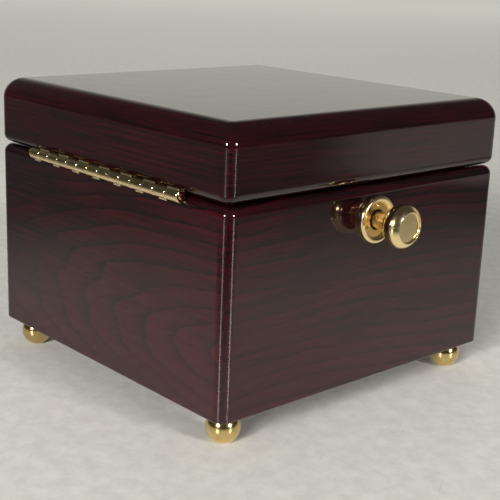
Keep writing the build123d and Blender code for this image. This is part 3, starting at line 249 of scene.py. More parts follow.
# %% [markdown]
# ## The veneer
#
# The sides are covered in a dark red veneer. A picture of wood could be wrapped round the box, but it
# would repeat and blur close to. The figure of wood comes from growth rings, so it is worked out here:
# a log is a stack of cones, and a flat cut through them shows nested arches, drawn out along the grain.
# A face gets rings about a centre, stretched along the grain, with a little noise to bend them, and
# fine fibres that run the same way.

# %% Growth rings and fibres
FIBRE = {"scale": (0.03, 1.4), "layer": 7, "detail": 5.0, "roughness": 0.65}
BEND = {"scale": (0.012, 0.04)}
SAW = {"scale": (0.16, 0.9), "layer": 5, "detail": 3.0}
CLOUD = {"scale": (0.02, 0.08), "layer": 13}
RING_BEND = 2.2
RING_SAW = 0.35
LINE_SHARPNESS = 9
RING_TONE = 0.3
LINE_TONE = 0.7
CLOUD_CLEARS = (0.2, 0.6)
CLOUD_TONE = 0.4
FIBRE_TONE = 1.3
TONE_DROP = 0.45


def grain_noise(finish, grain, seed, scale, layer=0, detail=2.0, roughness=0.5):
    """Noise that is drawn out along the grain. Each pattern takes its own layer of the noise."""
    along, across = grain
    return finish.noise((along, across, 0), (*scale, 1), seed + layer, detail, roughness)


def veneer_tone(finish, grain, fibre, centre, stretch, spacing, strength, seed):
    """How red the veneer is, from 0 to 1, on a face with its grain along one way."""
    along, across = grain
    bend = grain_noise(finish, grain, seed, **BEND)
    saw = grain_noise(finish, grain, seed, **SAW)
    cloud = grain_noise(finish, grain, seed, **CLOUD)
    reach = finish.length((along - centre[0]) / stretch, across - centre[1])
    ring = finish.math("FRACT", reach / spacing + bend * RING_BEND + saw * RING_SAW)
    dark_line = (1 - ring) ** LINE_SHARPNESS
    arches = (ring * RING_TONE - dark_line * LINE_TONE) * finish.rise(cloud, *CLOUD_CLEARS) * strength
    return finish.rise(cloud * CLOUD_TONE + fibre * FIBRE_TONE + arches - TONE_DROP, 0.0, 1.0)


print("fibres", round(1 / FIBRE["scale"][0]), "mm long and", round(1 / FIBRE["scale"][1], 1), "mm wide")

# %% [markdown]
# Over the wood lies the lacquer. It could be the shader's coat, a second gloss above the first. The
# wood under it has no gloss of its own, so the shader's one gloss is enough and renders with less
# noise. Real lacquer is never quite flat: a faint ripple bends what it mirrors, and finger smudges
# dull it here and there. On the rounded upright corners the veneer is cut across, which shows as fine
# slanting hatches.

# %% Lacquer over the wood
VENEER_DARK = srgb(13, 5, 6)
VENEER_RED = srgb(50, 9, 15)
VENEER_PORE = srgb(9, 4, 5)
LACQUER_ROUGHNESS = 0.03
LACQUER_IOR = 1.52
CORNER_WIDTH = 3.0
CORNER_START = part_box("right_wall")[1].x / MM - CORNER_WIDTH
CORNER_FADE = 2.0
HATCH_CLIMB = 0.9
HATCH_TURN = 0.6
HATCH = {"scale": (0.7, 0.05, 1), "detail": 4.0}
HATCH_LAYER = 21
HATCH_SHOWS = (0.38, 0.72)
PORE = {"scale": (0.22, 6.5), "layer": 3}
PORE_SHOWS = (0.60, 0.74)
PORE_SHARE = 0.8
RIPPLE = {"scale": [0.09] * 3, "detail": 1.0}
RIPPLE_STRENGTH = 0.25
GRAIN_RELIEF = 0.03
SMUDGE = {"scale": [0.05] * 3, "detail": 6.0, "roughness": 0.7}
SMUDGE_SHOWS = (0.5, 0.75)


def hatched_corners(finish, place, tone, seed):
    """The same tone, with slanting hatches on the rounded upright corners."""
    x, y, z = place
    beyond_x = finish.math("ABSOLUTE", x) - CORNER_START
    beyond_y = finish.math("ABSOLUTE", y) - CORNER_START
    corner = finish.rise(finish.math("MINIMUM", beyond_x, beyond_y), 0.0, CORNER_FADE)
    slant = z * HATCH_CLIMB + (x - y) * HATCH_TURN
    hatch = finish.noise((slant, x + y, 0), shift=seed + HATCH_LAYER, **HATCH)
    return tone + (finish.rise(hatch, *HATCH_SHOWS) - tone) * corner


def lacquer_over(finish, place, grain, fibre, tone, ripple_height, smudges, seed):
    """Colour the wood by its tone, and lay a faintly wavy lacquer over it."""
    wood = finish.mix(hatched_corners(finish, place, tone, seed), VENEER_DARK, VENEER_RED)
    pores = finish.rise(grain_noise(finish, grain, seed, **PORE), *PORE_SHOWS) * PORE_SHARE
    finish.set(Base_Color=finish.mix(pores, wood, VENEER_PORE))
    ripple = finish.noise(place, **RIPPLE)
    finish.bump(ripple + fibre * GRAIN_RELIEF, RIPPLE_STRENGTH, ripple_height)
    smudge = finish.noise(place, shift=seed, **SMUDGE)
    finish.set(Roughness=LACQUER_ROUGHNESS + finish.rise(smudge, *SMUDGE_SHOWS) * smudges)
    return finish.owner


print("corners are hatched from", round(CORNER_START, 1), "mm outward")

# %% [markdown]
# Each wall is its own sheet of veneer. One material could serve all four, but then the same arches
# would come round again on every side. So each wall gets its own centre for the arches: the hinge side
# has tall ones that open towards the knob and grow calm at the far end, and the knob side has low ones
# near its foot. All the walls are painted a little darker towards the top and lighter low down: painted
# shade and light, for the light that the pale table throws up onto their lower parts.

# %% Veneer for the walls
WALL_RINGS = 4.3
WALL_RIPPLE = 0.12
WALL_SMUDGES = 0.01
NEUTRAL_HEIGHT = 40.0
PAINTED_SHADE_UPWARD = 0.006
CALM_SHARE = 0.7


def wall_veneer(name, along_axis, centre, stretch, strength, fade, seed, calm=None):
    """Lacquered veneer for one wall, with its own arches, which may grow calm towards one end."""
    finish = new_finish(name, IOR=LACQUER_IOR)
    place = finish.place()
    along, height = place[along_axis], place[Z]
    grain = (along, height)
    fibre = grain_noise(finish, grain, seed, **FIBRE)
    if calm:
        strength = strength * (1 - finish.rise(along, *calm) * CALM_SHARE)
    tone = veneer_tone(finish, grain, fibre, centre, stretch, WALL_RINGS, strength, seed)
    # Painted shade and light: the tone falls with height, as if the lower walls were lit from the table.
    tone = tone + (NEUTRAL_HEIGHT - height) * PAINTED_SHADE_UPWARD + along * fade
    return lacquer_over(finish, place, grain, fibre, tone, WALL_RIPPLE, WALL_SMUDGES, seed)


panels = {
    "back_wall": wall_veneer(
        "veneer_back", X, centre=(-85, 33), stretch=3.9, strength=0.8, fade=-0.003, seed=1.0, calm=(-10, 60)
    ),
    "left_wall": wall_veneer(
        "veneer_left", Y, centre=(42, -8), stretch=4.6, strength=0.7, fade=0.002, seed=31.0
    ),
    "front_wall": wall_veneer(
        "veneer_front", X, centre=(70, 38), stretch=3.4, strength=0.8, fade=0.002, seed=52.0
    ),
    "right_wall": wall_veneer(
        "veneer_right", Y, centre=(30, 10), stretch=3.0, strength=0.7, fade=-0.002, seed=74.0
    ),
}
print("veneer for", len(panels), "walls")

# %% [markdown]
# The lid looks like one block with straight, quiet grain. Its five panels could have a material each,
# but one material does for all: the grain runs round the four edges and changes at the mitres, where
# one coordinate grows larger than the other, and the top is told apart by its normal.

# %% Veneer for the lid
LID_RINGS = 1.7
LID_CENTRE = (0, -160)
LID_STRETCH = 30.0
LID_FIGURE = 0.3
# The whole lid is painted darker: painted shade, going on from the walls' painted darkening towards the
# top.
LID_PAINTED_SHADE = 0.14
LID_RIPPLE = 0.2
LID_SMUDGES = 0.05
LID_SEED = 95.0
FACING_UP = (0.5, 0.8)
SHARP_ANGLE = radians(32)


def lid_veneer(seed):
    """Lacquered straight-grained veneer that follows the edges of the lid."""
    finish = new_finish("veneer_lid", IOR=LACQUER_IOR)
    place = finish.place()
    x, y, z = place
    normal = finish.apart(finish.add("TexCoord", output="Normal"))
    top = finish.rise(normal[Z], *FACING_UP)
    wider = finish.math("ABSOLUTE", x) - finish.math("ABSOLUTE", y)
    side = finish.math("GREATER_THAN", wider, 0.0) * (1 - top)
    grain = (x + (y - x) * side, z + (y - z) * top)
    fibre = grain_noise(finish, grain, seed, **FIBRE)
    tone = veneer_tone(finish, grain, fibre, LID_CENTRE, LID_STRETCH, LID_RINGS, LID_FIGURE, seed)
    # The lid's tone is lowered by painted shade.
    return lacquer_over(finish, place, grain, fibre, tone - LID_PAINTED_SHADE, LID_RIPPLE, LID_SMUDGES, seed)


def dress(node, material):
    """Give a solid a finish, and soft shading on its round faces only."""
    mesh = nodes[node].data
    mesh.materials.clear()
    mesh.materials.append(material)
    mesh.shade_smooth()
    mesh.set_sharp_from_angle(angle=SHARP_ANGLE)


LID_VENEER = lid_veneer(LID_SEED)
panels["lid_top_panel"] = LID_VENEER
for side_name in ("front", "right", "back", "left"):
    panels["lid_" + side_name + "_rail"] = LID_VENEER
for node, material in panels.items():
    dress(node, material)
print("veneered", len(panels), "panels")

# %% [markdown]
# ## Brass and steel
#
# The hinge, knob, escutcheon and feet are polished brass: nearly a mirror, with faint rubbing marks.
# The movement is satin brass and ground steel. A single roughness looks too perfect, and scratches
# drawn in colour look too strong. Noise in the roughness does most of the work instead, because a
# polished metal shows its wear in its reflections and not in its colour. Where an edge is worn, a Bevel
# node rounds the normal there, so that the edge catches a lamp without one more face in the mesh.

# %% A metal
EDGE_SAMPLES = 8
RUB = {"detail": 6.0, "roughness": 0.7}
RUB_STRENGTH = 0.08
RUB_DEPTH = 0.02
SPOTS = {"scale": [0.25] * 3, "detail": 3.0}
SPOTS_SHOW = (0.45, 0.75)
SPOT_COLOUR = 0.82
NOISE_MIDDLE = 0.5
PLATE_GOLD = srgb(240, 198, 116)
# Painted shade: a dark ring round the escutcheon's bore, for the shadow in the gap round the shaft.
BORE_PAINTED_SHADE = srgb(34, 24, 13)
BORE_SHADE_ENDS = (3.15, 3.75)
RIM_STARTS = (5.3, 6.1)


def plate_round_shaft(finish, y, z, shaft_height, rim):
    """The colour of the escutcheon: painted shade round the bore for the shadowed gap round the shaft, warm
    on the flat, bright at the rim.
    """
    from_shaft = finish.length(y, z - shaft_height)
    plate = finish.mix(finish.rise(from_shaft, *RIM_STARTS), PLATE_GOLD, rim)
    return finish.mix(finish.rise(from_shaft, *BORE_SHADE_ENDS), BORE_PAINTED_SHADE, plate)


def metal(name, colour, roughness, wear, worn_edge=0.0, grain=(1.0, 1.0, 1.0), shaft_height=None):
    """A metal with rubbing marks, drawn out along the axis where grain is small."""
    finish = new_finish(name, Metallic=1.0)
    place = finish.place()
    rub = finish.noise(place, grain, **RUB)
    spots = finish.noise(place, **SPOTS)
    finish.set(Roughness=roughness + (rub - NOISE_MIDDLE) * wear + (spots - NOISE_MIDDLE) * wear)
    dull = [channel * SPOT_COLOUR for channel in colour[:3]] + [1]
    tint = finish.mix(finish.rise(spots, *SPOTS_SHOW), colour, dull)
    # A ring of painted shade round the bore, for the shadowed gap round the shaft.
    if shaft_height:
        tint = plate_round_shaft(finish, place[Y], place[Z], shaft_height, tint)
    finish.set(Base_Color=tint)
    under = {}
    if worn_edge:
        under["Normal"] = finish.add("Bevel", {"samples": EDGE_SAMPLES}, {"Radius": worn_edge * MM})
    finish.bump(rub, RUB_STRENGTH, RUB_DEPTH, **under)
    return finish.owner


print("rubbing marks", RUB_DEPTH, "mm deep")

# %% [markdown]
# From that one function come all the metals of the box, told apart by colour, roughness and wear. The
# knob was turned, so it is a little duller than the hinge. The plate behind it gets a dark ring of painted
# shade round its bore, for the shadow in the gap round the shaft. The marks on the brass of the movement
# run along its shafts, and those on the steel run across them.

# %% The metals of the box
BRIGHT_BRASS = srgb(250, 224, 168)
escutcheon_low, escutcheon_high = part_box("escutcheon")
SHAFT_HEIGHT = (escutcheon_low.z + escutcheon_high.z) / 2 / MM
POLISHED_BRASS = metal("polished_brass", srgb(246, 222, 168), roughness=0.09, wear=0.05, worn_edge=0.45)
TURNED_BRASS = metal("turned_brass", BRIGHT_BRASS, roughness=0.20, wear=0.08, worn_edge=0.2)
# The feet get a darker copy of the brass: painted shade, for the shade they stand in down by the table.
SHADED_FOOT_BRASS = metal("shaded_foot_brass", srgb(216, 190, 130), roughness=0.16, wear=0.10, worn_edge=0.2)
PLATE_BRASS = metal(
    "plate_brass", BRIGHT_BRASS, roughness=0.22, wear=0.08, worn_edge=0.2, shaft_height=SHAFT_HEIGHT
)
TARNISHED_BRASS = metal("tarnished_brass", srgb(66, 48, 27), roughness=0.5, wear=0.2)
BRUSHED_BRASS = metal("brushed_brass", srgb(244, 222, 172), roughness=0.32, wear=0.12)
SATIN_BRASS = metal(
    "satin_brass", srgb(236, 208, 142), roughness=0.40, wear=0.16, grain=(0.4, 6.0, 6.0)
)
GROUND_STEEL = metal(
    "ground_steel", srgb(186, 186, 188), roughness=0.28, wear=0.18, grain=(6.0, 0.5, 6.0)
)
BLUED_STEEL = metal("blued_steel", srgb(84, 92, 120), roughness=0.26, wear=0.12)
print("the shaft is", round(SHAFT_HEIGHT, 2), "mm above the table")

# %% [markdown]
# ## Plain wood, rubber and glass
#
# Inside, the wood is stained and not lacquered, and the sound board is pale spruce. Both are straight
# stripes of noise, because such small boards are cut from straight wood and rings would be lost on
# them. Two rubber bumpers catch the lid, and a glass pane covers the movement. The glass is the
# shader's own transmission with a few smears: alpha would be quicker, but would fade the gloss as well.

# %% Wood, rubber and glass
WOOD_SCALE = (0.02, 0.9, 0.9)
WOOD_STRIPES = (0.3, 0.7)
WOOD_ROUGHNESS = 0.55
WOOD_FIBRE_DULLS = 0.2
WOOD_RELIEF = {"strength": 0.3, "distance_mm": 0.1}
RUBBER_DARK = srgb(24, 22, 22)
RUBBER_PALE = srgb(44, 40, 39)
RUBBER_SCALE = [4] * 3
RUBBER_ROUGHNESS = 0.7
RUBBER_GRAIN_DULLS = 0.2
RUBBER_RELIEF = {"strength": 0.2, "distance_mm": 0.05}
GLASS_TINT = (0.93, 0.97, 0.95, 1)
GLASS_IOR = 1.5
SMEAR_SCALE = (0.05, 0.08, 1)
SMEAR_SHOWS = (0.5, 0.8)
SMEAR_ROUGHNESS = 0.05


def bare_wood(name, dark, light, along_axis, seed):
    """Unpolished straight-grained wood."""
    finish = new_finish(name)
    place = finish.place()
    across = [place[axis] for axis in (X, Y, Z) if axis != along_axis]
    fibre = finish.noise((place[along_axis], *across), WOOD_SCALE, seed, detail=5.0, roughness=0.6)
    finish.set(Base_Color=finish.mix(finish.rise(fibre, *WOOD_STRIPES), dark, light))
    finish.set(Roughness=WOOD_ROUGHNESS + fibre * WOOD_FIBRE_DULLS)
    finish.bump(fibre, **WOOD_RELIEF)
    return finish.owner


def rubber():
    """Dark rubber with a fine moulded grain."""
    finish = new_finish("dark_rubber")
    grain = finish.noise(finish.place(), RUBBER_SCALE, detail=4.0)
    finish.set(Base_Color=finish.mix(grain, RUBBER_DARK, RUBBER_PALE))
    finish.set(Roughness=RUBBER_ROUGHNESS + grain * RUBBER_GRAIN_DULLS)
    finish.bump(grain, **RUBBER_RELIEF)
    return finish.owner


def clear_glass():
    """Clear glass with a few smears."""
    finish = new_finish("clear_glass", Transmission_Weight=1.0, IOR=GLASS_IOR, Base_Color=GLASS_TINT)
    smear = finish.noise(finish.place(), SMEAR_SCALE, detail=4.0)
    finish.set(Roughness=finish.rise(smear, *SMEAR_SHOWS) * SMEAR_ROUGHNESS)
    return finish.owner


STAINED_WOOD = bare_wood("stained_wood", srgb(44, 22, 16), srgb(82, 44, 30), X, seed=4.0)
SPRUCE = bare_wood("spruce", srgb(196, 160, 108), srgb(222, 194, 146), Y, seed=9.0)
RUBBER = rubber()
GLASS = clear_glass()
print("also made:", ", ".join(made.name for made in (STAINED_WOOD, SPRUCE, RUBBER, GLASS)))

# %% [markdown]
# The record of the solid model names a material slot for each piece, so a loop over the slots dresses
# nearly everything. The brass that shows outside is then set piece by piece, because knob, plate, bush
# and shaft have each worn in their own way, the plate also has painted shade round its bore, and the
# feet are a darker brass as painted shade.

# %% Dress the other pieces
slot_finish = {
    "polished_brass": POLISHED_BRASS,
    "movement_brass": SATIN_BRASS,
    "steel": GROUND_STEEL,
    "spring_steel": BLUED_STEEL,
    "plain_wood": STAINED_WOOD,
    "spruce": SPRUCE,
    "rubber": RUBBER,
    "glass": GLASS,
}
piece_finish = {
    "winding_knob": TURNED_BRASS,
    "escutcheon": PLATE_BRASS,
    "wall_bush": TARNISHED_BRASS,
    "winding_arbor": BRUSHED_BRASS,
}
# The feet take the darker brass of painted shade.
for node in nodes:
    if node.startswith("foot_"):
        piece_finish[node] = SHADED_FOOT_BRASS
for part in frame["record"]["subparts"]:
    if part["material_slot"] in slot_finish:
        dress(part["node"], slot_finish[part["material_slot"]])
for node, material in piece_finish.items():
    dress(node, material)
print("finished", len(slot_finish), "other slots, and", len(piece_finish), "pieces of their own")

# %% [markdown]
# Polished brass never keeps a sharp edge. The Bevel node above softens the look of an edge, but not its
# outline, so the pieces seen closest also get a narrow real bevel. It catches the lamps, and it is what
# makes the separate knuckles of the hinge show.

# %% Worn edges on the brass
WORN_EDGES = {
    "hinge_lid_leaf": 0.12,
    "hinge_case_leaf": 0.12,
    "hinge_pin": 0.35,
    "winding_knob": 0.15,
    "escutcheon": 0.15,
}
EDGE_ANGLE = radians(40)
EDGE_SEGMENTS = 2
for node, width in WORN_EDGES.items():
    bevel = nodes[node].modifiers.new("worn edges", "BEVEL")
    bevel.width = width * MM
    bevel.segments = EDGE_SEGMENTS
    bevel.limit_method = "ANGLE"
    bevel.angle_limit = EDGE_ANGLE
print("worn edges on", len(WORN_EDGES), "pieces")

# %% [markdown]
# ## Two springs
#
# Two small springs sit between a fixed piece and a moving one: the leaf that presses on the click, and
# the coil under the stop lever. A rigid solid can't follow both, and would cut into the piece that
# moves. Here each is only swapped for a loose copy of its mesh, which keeps the spring's rest shape.


def flexing_spring(name, node):
    """A copy of a spring's mesh, put in place of the solid spring, which is hidden."""
    piece = put_in_scene(name, nodes[node].data.copy())
    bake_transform(piece)
    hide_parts(node)
    return piece


leaf = flexing_spring("click_spring_leaf", "click_spring")
coil = flexing_spring("stop_spring_coil", "stop_spring")
print("springs:", len(leaf.data.vertices), "and", len(coil.data.vertices), "points")

# %% [markdown]
# ## Velvet
#
# Open the lid and the front compartment is lined with dark red velvet, as is the inside of the lid.
# Velvet is a standing pile: it looks dark face on and lights up at the edges. It could be grown as
# thousands of short hairs, but they would be slow, and lost when the part is exported. The shader's
# sheen gives the same glow, and noise in the colour gives the marks that fingers leave in the pile.

# %% The velvet finish
VELVET_DARK = srgb(82, 9, 18)
VELVET_RED = srgb(122, 17, 29)
VELVET_GLOW = {"Sheen_Weight": 0.9, "Sheen_Roughness": 0.35, "Sheen_Tint": srgb(214, 92, 100)}
VELVET_DULL = {"Roughness": 0.95, "Specular_IOR_Level": 0.1}
BRUSHED = {"scale": (0.06, 0.09, 0.06), "detail": 3.0}
BRUSHED_SHOWS = (0.35, 0.68)
BRUSHED_SHARE = 0.7
PILE = {"scale": [5] * 3, "detail": 3.0}
PILE_RELIEF = {"strength": 0.5, "distance_mm": 0.15}


def velvet():
    """A dark red pile with brushed marks."""
    finish = new_finish("velvet", **VELVET_GLOW, **VELVET_DULL)
    place = finish.place()
    brushed = finish.rise(finish.noise(place, **BRUSHED), *BRUSHED_SHOWS)
    pile = finish.noise(place, **PILE)
    shade = brushed * BRUSHED_SHARE + pile * (1 - BRUSHED_SHARE)
    finish.set(Base_Color=finish.mix(shade, VELVET_DARK, VELVET_RED))
    finish.bump(pile, **PILE_RELIEF)
    return finish.owner


VELVET = velvet()
print("velvet from", len(VELVET.node_tree.nodes), "nodes")

# %% [markdown]
# A lining is a soft skin over card, so it has no sharp edge anywhere. Loose cloth would be simulated,
# but this velvet is glued down and keeps its form. So both linings are built as a stack of rounded
# rectangles, each bridged to the next, which gives every roll and swelling its own exact size.

# %% Build a soft skin from rings
RING_STEPS = 6
CORNERS = ((1, 1), (-1, 1), (-1, -1), (1, -1))


def ring_maker(node):
    """A function that makes rounded rectangles, set in from the sides of a solid, and the solid's box."""
    low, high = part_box(node)
    middle = (low + high) / 2
    half = (high - low) / 2

    def ring(inset, level, radius):
        points = []
        for quarter, (sx, sy) in enumerate(CORNERS):
            for step in range(RING_STEPS + 1):
                angle = pi / 2 * (quarter + step / RING_STEPS)
                x = sx * (half.x - inset - radius) + radius * cos(angle)
                y = sy * (half.y - inset - radius) + radius * sin(angle)
                points.append(Vector((middle.x + x, middle.y + y, level)))
        return points

    return ring, low, high, half


def soft_skin(name, rings, material):
    """One closed mesh through a list of rings."""
    work = bmesh.new()
    rows = [[work.verts.new(point) for point in ring] for ring in rings]
    count = len(rows[0])
    for lower, upper in zip(rows, rows[1:]):
        for index in range(count):
            after = (index + 1) % count
            work.faces.new((lower[index], lower[after], upper[after], upper[index]))
    work.faces.new(list(reversed(rows[0])))
    work.faces.new(rows[-1])
    bmesh.ops.recalc_face_normals(work, faces=work.faces)
    mesh = bpy.data.meshes.new(name)
    work.to_mesh(mesh)
    work.free()
    mesh.materials.append(material)
    mesh.shade_smooth()
    return put_in_scene(name, mesh)


print("a ring has", len(CORNERS) * (RING_STEPS + 1), "points")

# %% [markdown]
# The compartment's lining goes up the outside, over a rolled rim, down the inside, round a soft corner
# and in across a padded floor that swells a little towards its middle. It stands for the plain solid
# of the lining, and stays inside it.

# %% The lined compartment
SKIN = 1.5 * MM
RIM_ROLL = SKIN / 2
LOWER_EDGE = 0.4 * MM
TRAY_CORNER = 2.5 * MM
SOFT_CORNER = 3 * MM
FLOOR_SWELL = 0.9 * MM
FLOOR_STEPS = 9
FLOOR_LEAST_CORNER = 0.2 * MM
MIDDLE_GAP = 0.5 * MM
TURN_STEPS = 6

tray_ring, low, high, half = ring_maker("compartment_lining")
rings = [tray_ring(LOWER_EDGE, low.z, TRAY_CORNER), tray_ring(0, low.z + LOWER_EDGE, TRAY_CORNER)]
for step in range(TURN_STEPS + 1):
    angle = pi * step / TURN_STEPS
    inset = RIM_ROLL * (1 - cos(angle))
    rings.append(tray_ring(inset, high.z - RIM_ROLL * (1 - sin(angle)), TRAY_CORNER))
floor_level = low.z + SKIN
for step in range(TURN_STEPS + 1):
    angle = pi / 2 * step / TURN_STEPS
    inset = SKIN + SOFT_CORNER * (1 - cos(angle))
    rings.append(tray_ring(inset, floor_level + SOFT_CORNER * (1 - sin(angle)), TRAY_CORNER))
inner_edge = SKIN + SOFT_CORNER
for step in range(1, FLOOR_STEPS):
    share = step / FLOOR_STEPS
    inset = inner_edge + share * (half.y - inner_edge - MIDDLE_GAP)
    radius = TRAY_CORNER * (1 - share) + FLOOR_LEAST_CORNER
    rings.append(tray_ring(inset, floor_level + FLOOR_SWELL * sin(pi / 2 * share), radius))
tray = soft_skin("velvet_tray", rings, VELVET)
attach(tray, "case")
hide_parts("compartment_lining")
print("velvet tray:", len(tray.data.vertices), "points")

# %% [markdown]
# The lid's lining is the same kind of skin turned upside down: flat against the lid, rolled at its
# edge, and crowned towards the middle. It swings with the lid.

# %% The lining of the lid
PAD_ROLL = 0.9 * MM
PAD_CROWN = 0.5 * MM
PAD_CORNER = 1.5 * MM
CROWN_CORNER = 0.4 * MM
CROWN_STEPS = 13

pad_ring, low, high, half = ring_maker("lid_lining")
rings = [pad_ring(0, high.z, PAD_CORNER)]
flat_level = low.z + PAD_CROWN
for step in range(TURN_STEPS + 1):
    angle = pi / 2 * step / TURN_STEPS
    inset = PAD_ROLL * (1 - cos(angle))
    rings.append(pad_ring(inset, flat_level + PAD_ROLL * (1 - sin(angle)), PAD_CORNER))
for step in range(1, CROWN_STEPS):
    share = step / CROWN_STEPS
    inset = PAD_ROLL + share * (half.y - PAD_ROLL - MIDDLE_GAP)
    rings.append(pad_ring(inset, flat_level - PAD_CROWN * sin(pi / 2 * share), CROWN_CORNER))
lid_pad = soft_skin("velvet_lid_pad", rings, VELVET)
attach(lid_pad, "lid")
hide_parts("lid_lining")
print("lid pad:", len(lid_pad.data.vertices), "points")

# %% [markdown]
# ## The table
#
# The box stands on a pale table with soft mottling and a few rubbed scratches. A plain white floor
# would do for a shadow, but a mirror-bright box shows its surroundings, and most of what gives the
# lacquer its shape is the mirrored table. So the table gets a worn surface of its own first.

# %% The surface of the table
TABLE_DARK = srgb(199, 196, 189)
TABLE_PALE = srgb(214, 211, 204)
TABLE_SCRATCH = srgb(160, 157, 150)
MOTTLE = {"scale": (0.16, 0.16, 1), "detail": 8.0, "roughness": 0.72}
MOTTLE_SHOWS = (0.3, 0.7)
SCRATCH_ACROSS = (0.9, 0.5)
SCRATCH_ALONG = (-0.05, 0.03)
SCRATCH_LAYER = 4
SCRATCH_SHOWS = (0.70, 0.80)
SCRATCH_SHARE = 0.4


def worn_table(finish, place):
    """The table's own colour."""
    x, y, z = place
    mottle = finish.rise(finish.noise(place, **MOTTLE), *MOTTLE_SHOWS)
    across = x * SCRATCH_ACROSS[X] + y * SCRATCH_ACROSS[Y]
    along = x * SCRATCH_ALONG[X] + y * SCRATCH_ALONG[Y]
    rub = finish.noise((across, along, z), (1, 1, 1), SCRATCH_LAYER)
    scratches = finish.rise(rub, *SCRATCH_SHOWS) * SCRATCH_SHARE
    return finish.mix(scratches, finish.mix(mottle, TABLE_DARK, TABLE_PALE), TABLE_SCRATCH)


print("mottling about", round(1 / MOTTLE["scale"][0]), "mm across")

# %% [markdown]
# The lacquer and the brass see more of the table than the camera does, and there it is lit unevenly: a
# pale pool round the box, a dim stretch further out, a dark strip towards the camera and a pale patch
# at one side. Real lamps for all of that would also light the box. Light Path tells a mirrored ray from
# one that goes straight to the camera, so the patches and a coat that mirrors the lamps are there for
# mirrored rays only. To the camera the table is pale and matte everywhere, and fades into a plain
# backdrop far away.
#
# The patches are laid out on two axes: away from the camera, and sideways.

# %% Where the table is pale and dark
AWAY = (0.74, -0.67)
POOL_SHIFT = 40.0
POOL_NARROW = 1.7
POOL_EDGE = (170.0, 370.0)
BEHIND_BOX = (0.25, 0.6)
PATCH_START = 370.0
PATCH_FRONT = -95.0
PATCH_EDGE = 70.0
STRIP_START = (200.0, 290.0)
STRIP_SIDE = (60.0, 160.0)
NEAR_CENTRE = (-110, 25)
NEAR_EDGE = (50.0, 225.0)
FAR_EDGE = (350.0, 1500.0)
BACKDROP_EDGE = (400.0, 3200.0)


def table_masks(finish, x, y):
    """Where each kind of light or shade lies on the table, as a dictionary of wires from 0 to 1."""
    away = x * AWAY[X] + y * AWAY[Y]
    sideways = x * AWAY[Y] - y * AWAY[X] - POOL_SHIFT
    reach = finish.length(away * POOL_NARROW, sideways)
    behind = finish.rise(away / reach, *BEHIND_BOX)
    patch = finish.rise(sideways, PATCH_START, PATCH_START + PATCH_EDGE)
    patch = patch * finish.rise(away, PATCH_FRONT, PATCH_FRONT + PATCH_EDGE)
    aside = finish.rise(finish.math("ABSOLUTE", sideways), *STRIP_SIDE)
    from_near = finish.length(away - NEAR_CENTRE[0], sideways - NEAR_CENTRE[1])
    return {
        "dim": finish.rise(reach, *POOL_EDGE) * (1 - behind) * (1 - patch),
        "strip": finish.rise(0 - away, *STRIP_START) * (1 - aside),
        "bright": finish.math("MAXIMUM", 1 - finish.rise(from_near, *NEAR_EDGE), patch),
        "far": finish.rise(finish.length(x, y), *FAR_EDGE) * (1 - behind),
        "backdrop": finish.rise(away, *BACKDROP_EDGE) * behind,
    }


print("the pale pool fades out from", POOL_EDGE[0], "to", POOL_EDGE[1], "mm")

# %% [markdown]
# The floor itself could be any flat sheet. A wide disc has its rim equally far off on all sides, so
# every view ends in the same plain distance. It is part of the stage and not of the object.

# %% The floor
FLOOR_REACH = 6.0
FLOOR_SIDES = 96
TABLE_DIM = srgb(106, 105, 102)
TABLE_STRIP = srgb(40, 40, 39)
BRIGHT_GLOW = srgb(114, 113, 109)
FAR_GLOW = srgb(204, 203, 195)
BACKDROP_GLOW = srgb(180, 180, 172)
TABLE_COAT = {"Coat_Roughness": 0.28, "Coat_IOR": 1.47}
DIM_COAT_LOSS = 0.5


def floor_finish():
    """A table that is pale and matte to the camera, and coated and uneven where it is mirrored."""
    finish = new_finish("pale_table", Specular_IOR_Level=0.0, Emission_Strength=1.0, **TABLE_COAT)
    place = finish.place()
    mirrored = finish.add("LightPath", output="Is Glossy Ray")
    seen = finish.add("LightPath", output="Is Camera Ray")
    masks = table_masks(finish, place[X], place[Y])
    far = masks["far"] * seen
    table = finish.mix(masks["dim"] * mirrored, worn_table(finish, place), TABLE_DIM)
    table = finish.mix(masks["strip"] * mirrored, table, TABLE_STRIP)
    finish.set(Base_Color=finish.mix(far, table, BLACK))
    finish.set(Coat_Weight=mirrored * (1 - masks["dim"] * DIM_COAT_LOSS))
    glow = finish.mix(masks["bright"] * mirrored, BLACK, BRIGHT_GLOW)
    glow = finish.mix(masks["backdrop"], glow, BACKDROP_GLOW)
    finish.set(Emission_Color=finish.mix(far, glow, FAR_GLOW))
    return finish.owner


bpy.ops.mesh.primitive_circle_add(vertices=FLOOR_SIDES, radius=FLOOR_REACH, fill_type="NGON")
floor = bpy.context.object
floor.name = "floor"
floor.data.materials.append(floor_finish())
print("floor", 2 * FLOOR_REACH, "m across")

# %% [markdown]
# ## The lamps
#
# A soft window beside the camera gives most of the light and throws the shadow back, and two weak soft
# lamps, overhead and on the far side, fill it in. Two small square lamps make the sparkles on the brass
# and the streaks on the upright corners, so only those two show in mirrored rays: the others would hang
# in the lacquer as white squares. The sides that face away from the window would still be nearly black.
# More light on everything would wash out the table, so the sixth lamp lights the box alone, by light
# linking, and leaves the table's shadow as it is.

# %% Six lamps
AIM = Vector((0, 0, 0.05))


def toward(azimuth, elevation, reach):
    """A place at a compass angle, a height angle and a distance in metres from the box."""
    turn = radians(azimuth)
    rise = radians(elevation)
    return Vector((cos(turn) * cos(rise), sin(turn) * cos(rise), sin(rise))) * reach


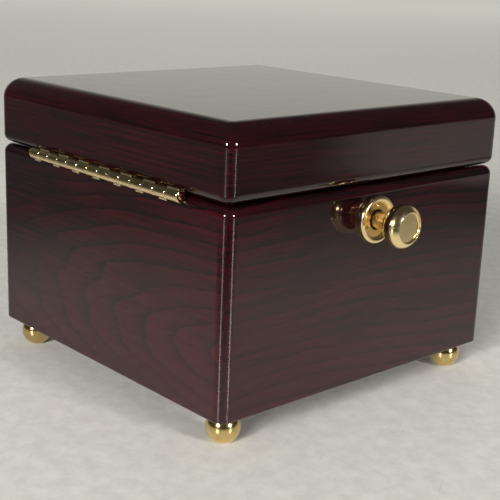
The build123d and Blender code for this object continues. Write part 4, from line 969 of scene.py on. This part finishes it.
def area_lamp(name, place, size, watts, sparkle=True):
    """A square lamp that faces the box."""
    data = bpy.data.lights.new(name, "AREA")
    data.size = size
    data.energy = watts
    lamp = put_in_scene(name, data)
    lamp.location = place
    lamp.rotation_mode = "QUATERNION"
    lamp.rotation_quaternion = (place - AIM).to_track_quat("Z", "Y")
    lamp.visible_glossy = sparkle
    return lamp


area_lamp("overhead", toward(120, 76, 1.3), size=1.8, watts=5, sparkle=False)
area_lamp("fill", toward(318, 48, 2.0), size=1.4, watts=5, sparkle=False)
area_lamp("window", toward(114, 18, 4.0), size=1.2, watts=152, sparkle=False)
area_lamp("lamp_left", toward(106, 20, 3.0), size=0.44, watts=52)
area_lamp("lamp_right", toward(186, 18, 3.0), size=0.44, watts=52)
far_fill = area_lamp("far_fill", toward(318, 30, 2.0), size=1.6, watts=45, sparkle=False)
box_only = bpy.data.collections.new("box only")
for piece in [*nodes.values(), leaf, coil, tray, lid_pad]:
    box_only.objects.link(piece)
far_fill.light_linking.receiver_collection = box_only

# %% [markdown]
# ## The room
#
# The rest of what the box mirrors is the room: a pale wall behind the box, and dimmer sides. A picture
# of a real room could light it, but would bring its own colours and shapes into the lacquer. Two greys
# and a smooth change between them are enough. Seen straight by the camera, the room is pale all round,
# so that other views have a plain backdrop too.

# %% The room around
ROOM_DIM = srgb(62, 62, 62)
ROOM_PALE = srgb(208, 207, 198)
WALL_SIDES = (0.3, 0.8)
WALL_TOP = (0.2, 0.6)

room = Finish(bpy.data.worlds.new("room"), "Background")
scene.world = room.owner
heading = room.apart(room.add("TexCoord", output="Generated"))
toward_wall = heading[X] * AWAY[X] + heading[Y] * AWAY[Y]
wall = room.rise(toward_wall, *WALL_SIDES) * (1 - room.rise(heading[Z], *WALL_TOP))
seen = room.add("LightPath", output="Is Camera Ray")
room.set(Color=room.mix(room.math("MAXIMUM", wall, seen), ROOM_DIM, ROOM_PALE))
print("a room with a pale wall, from", len(room.tree.nodes), "nodes")

# %% [markdown]
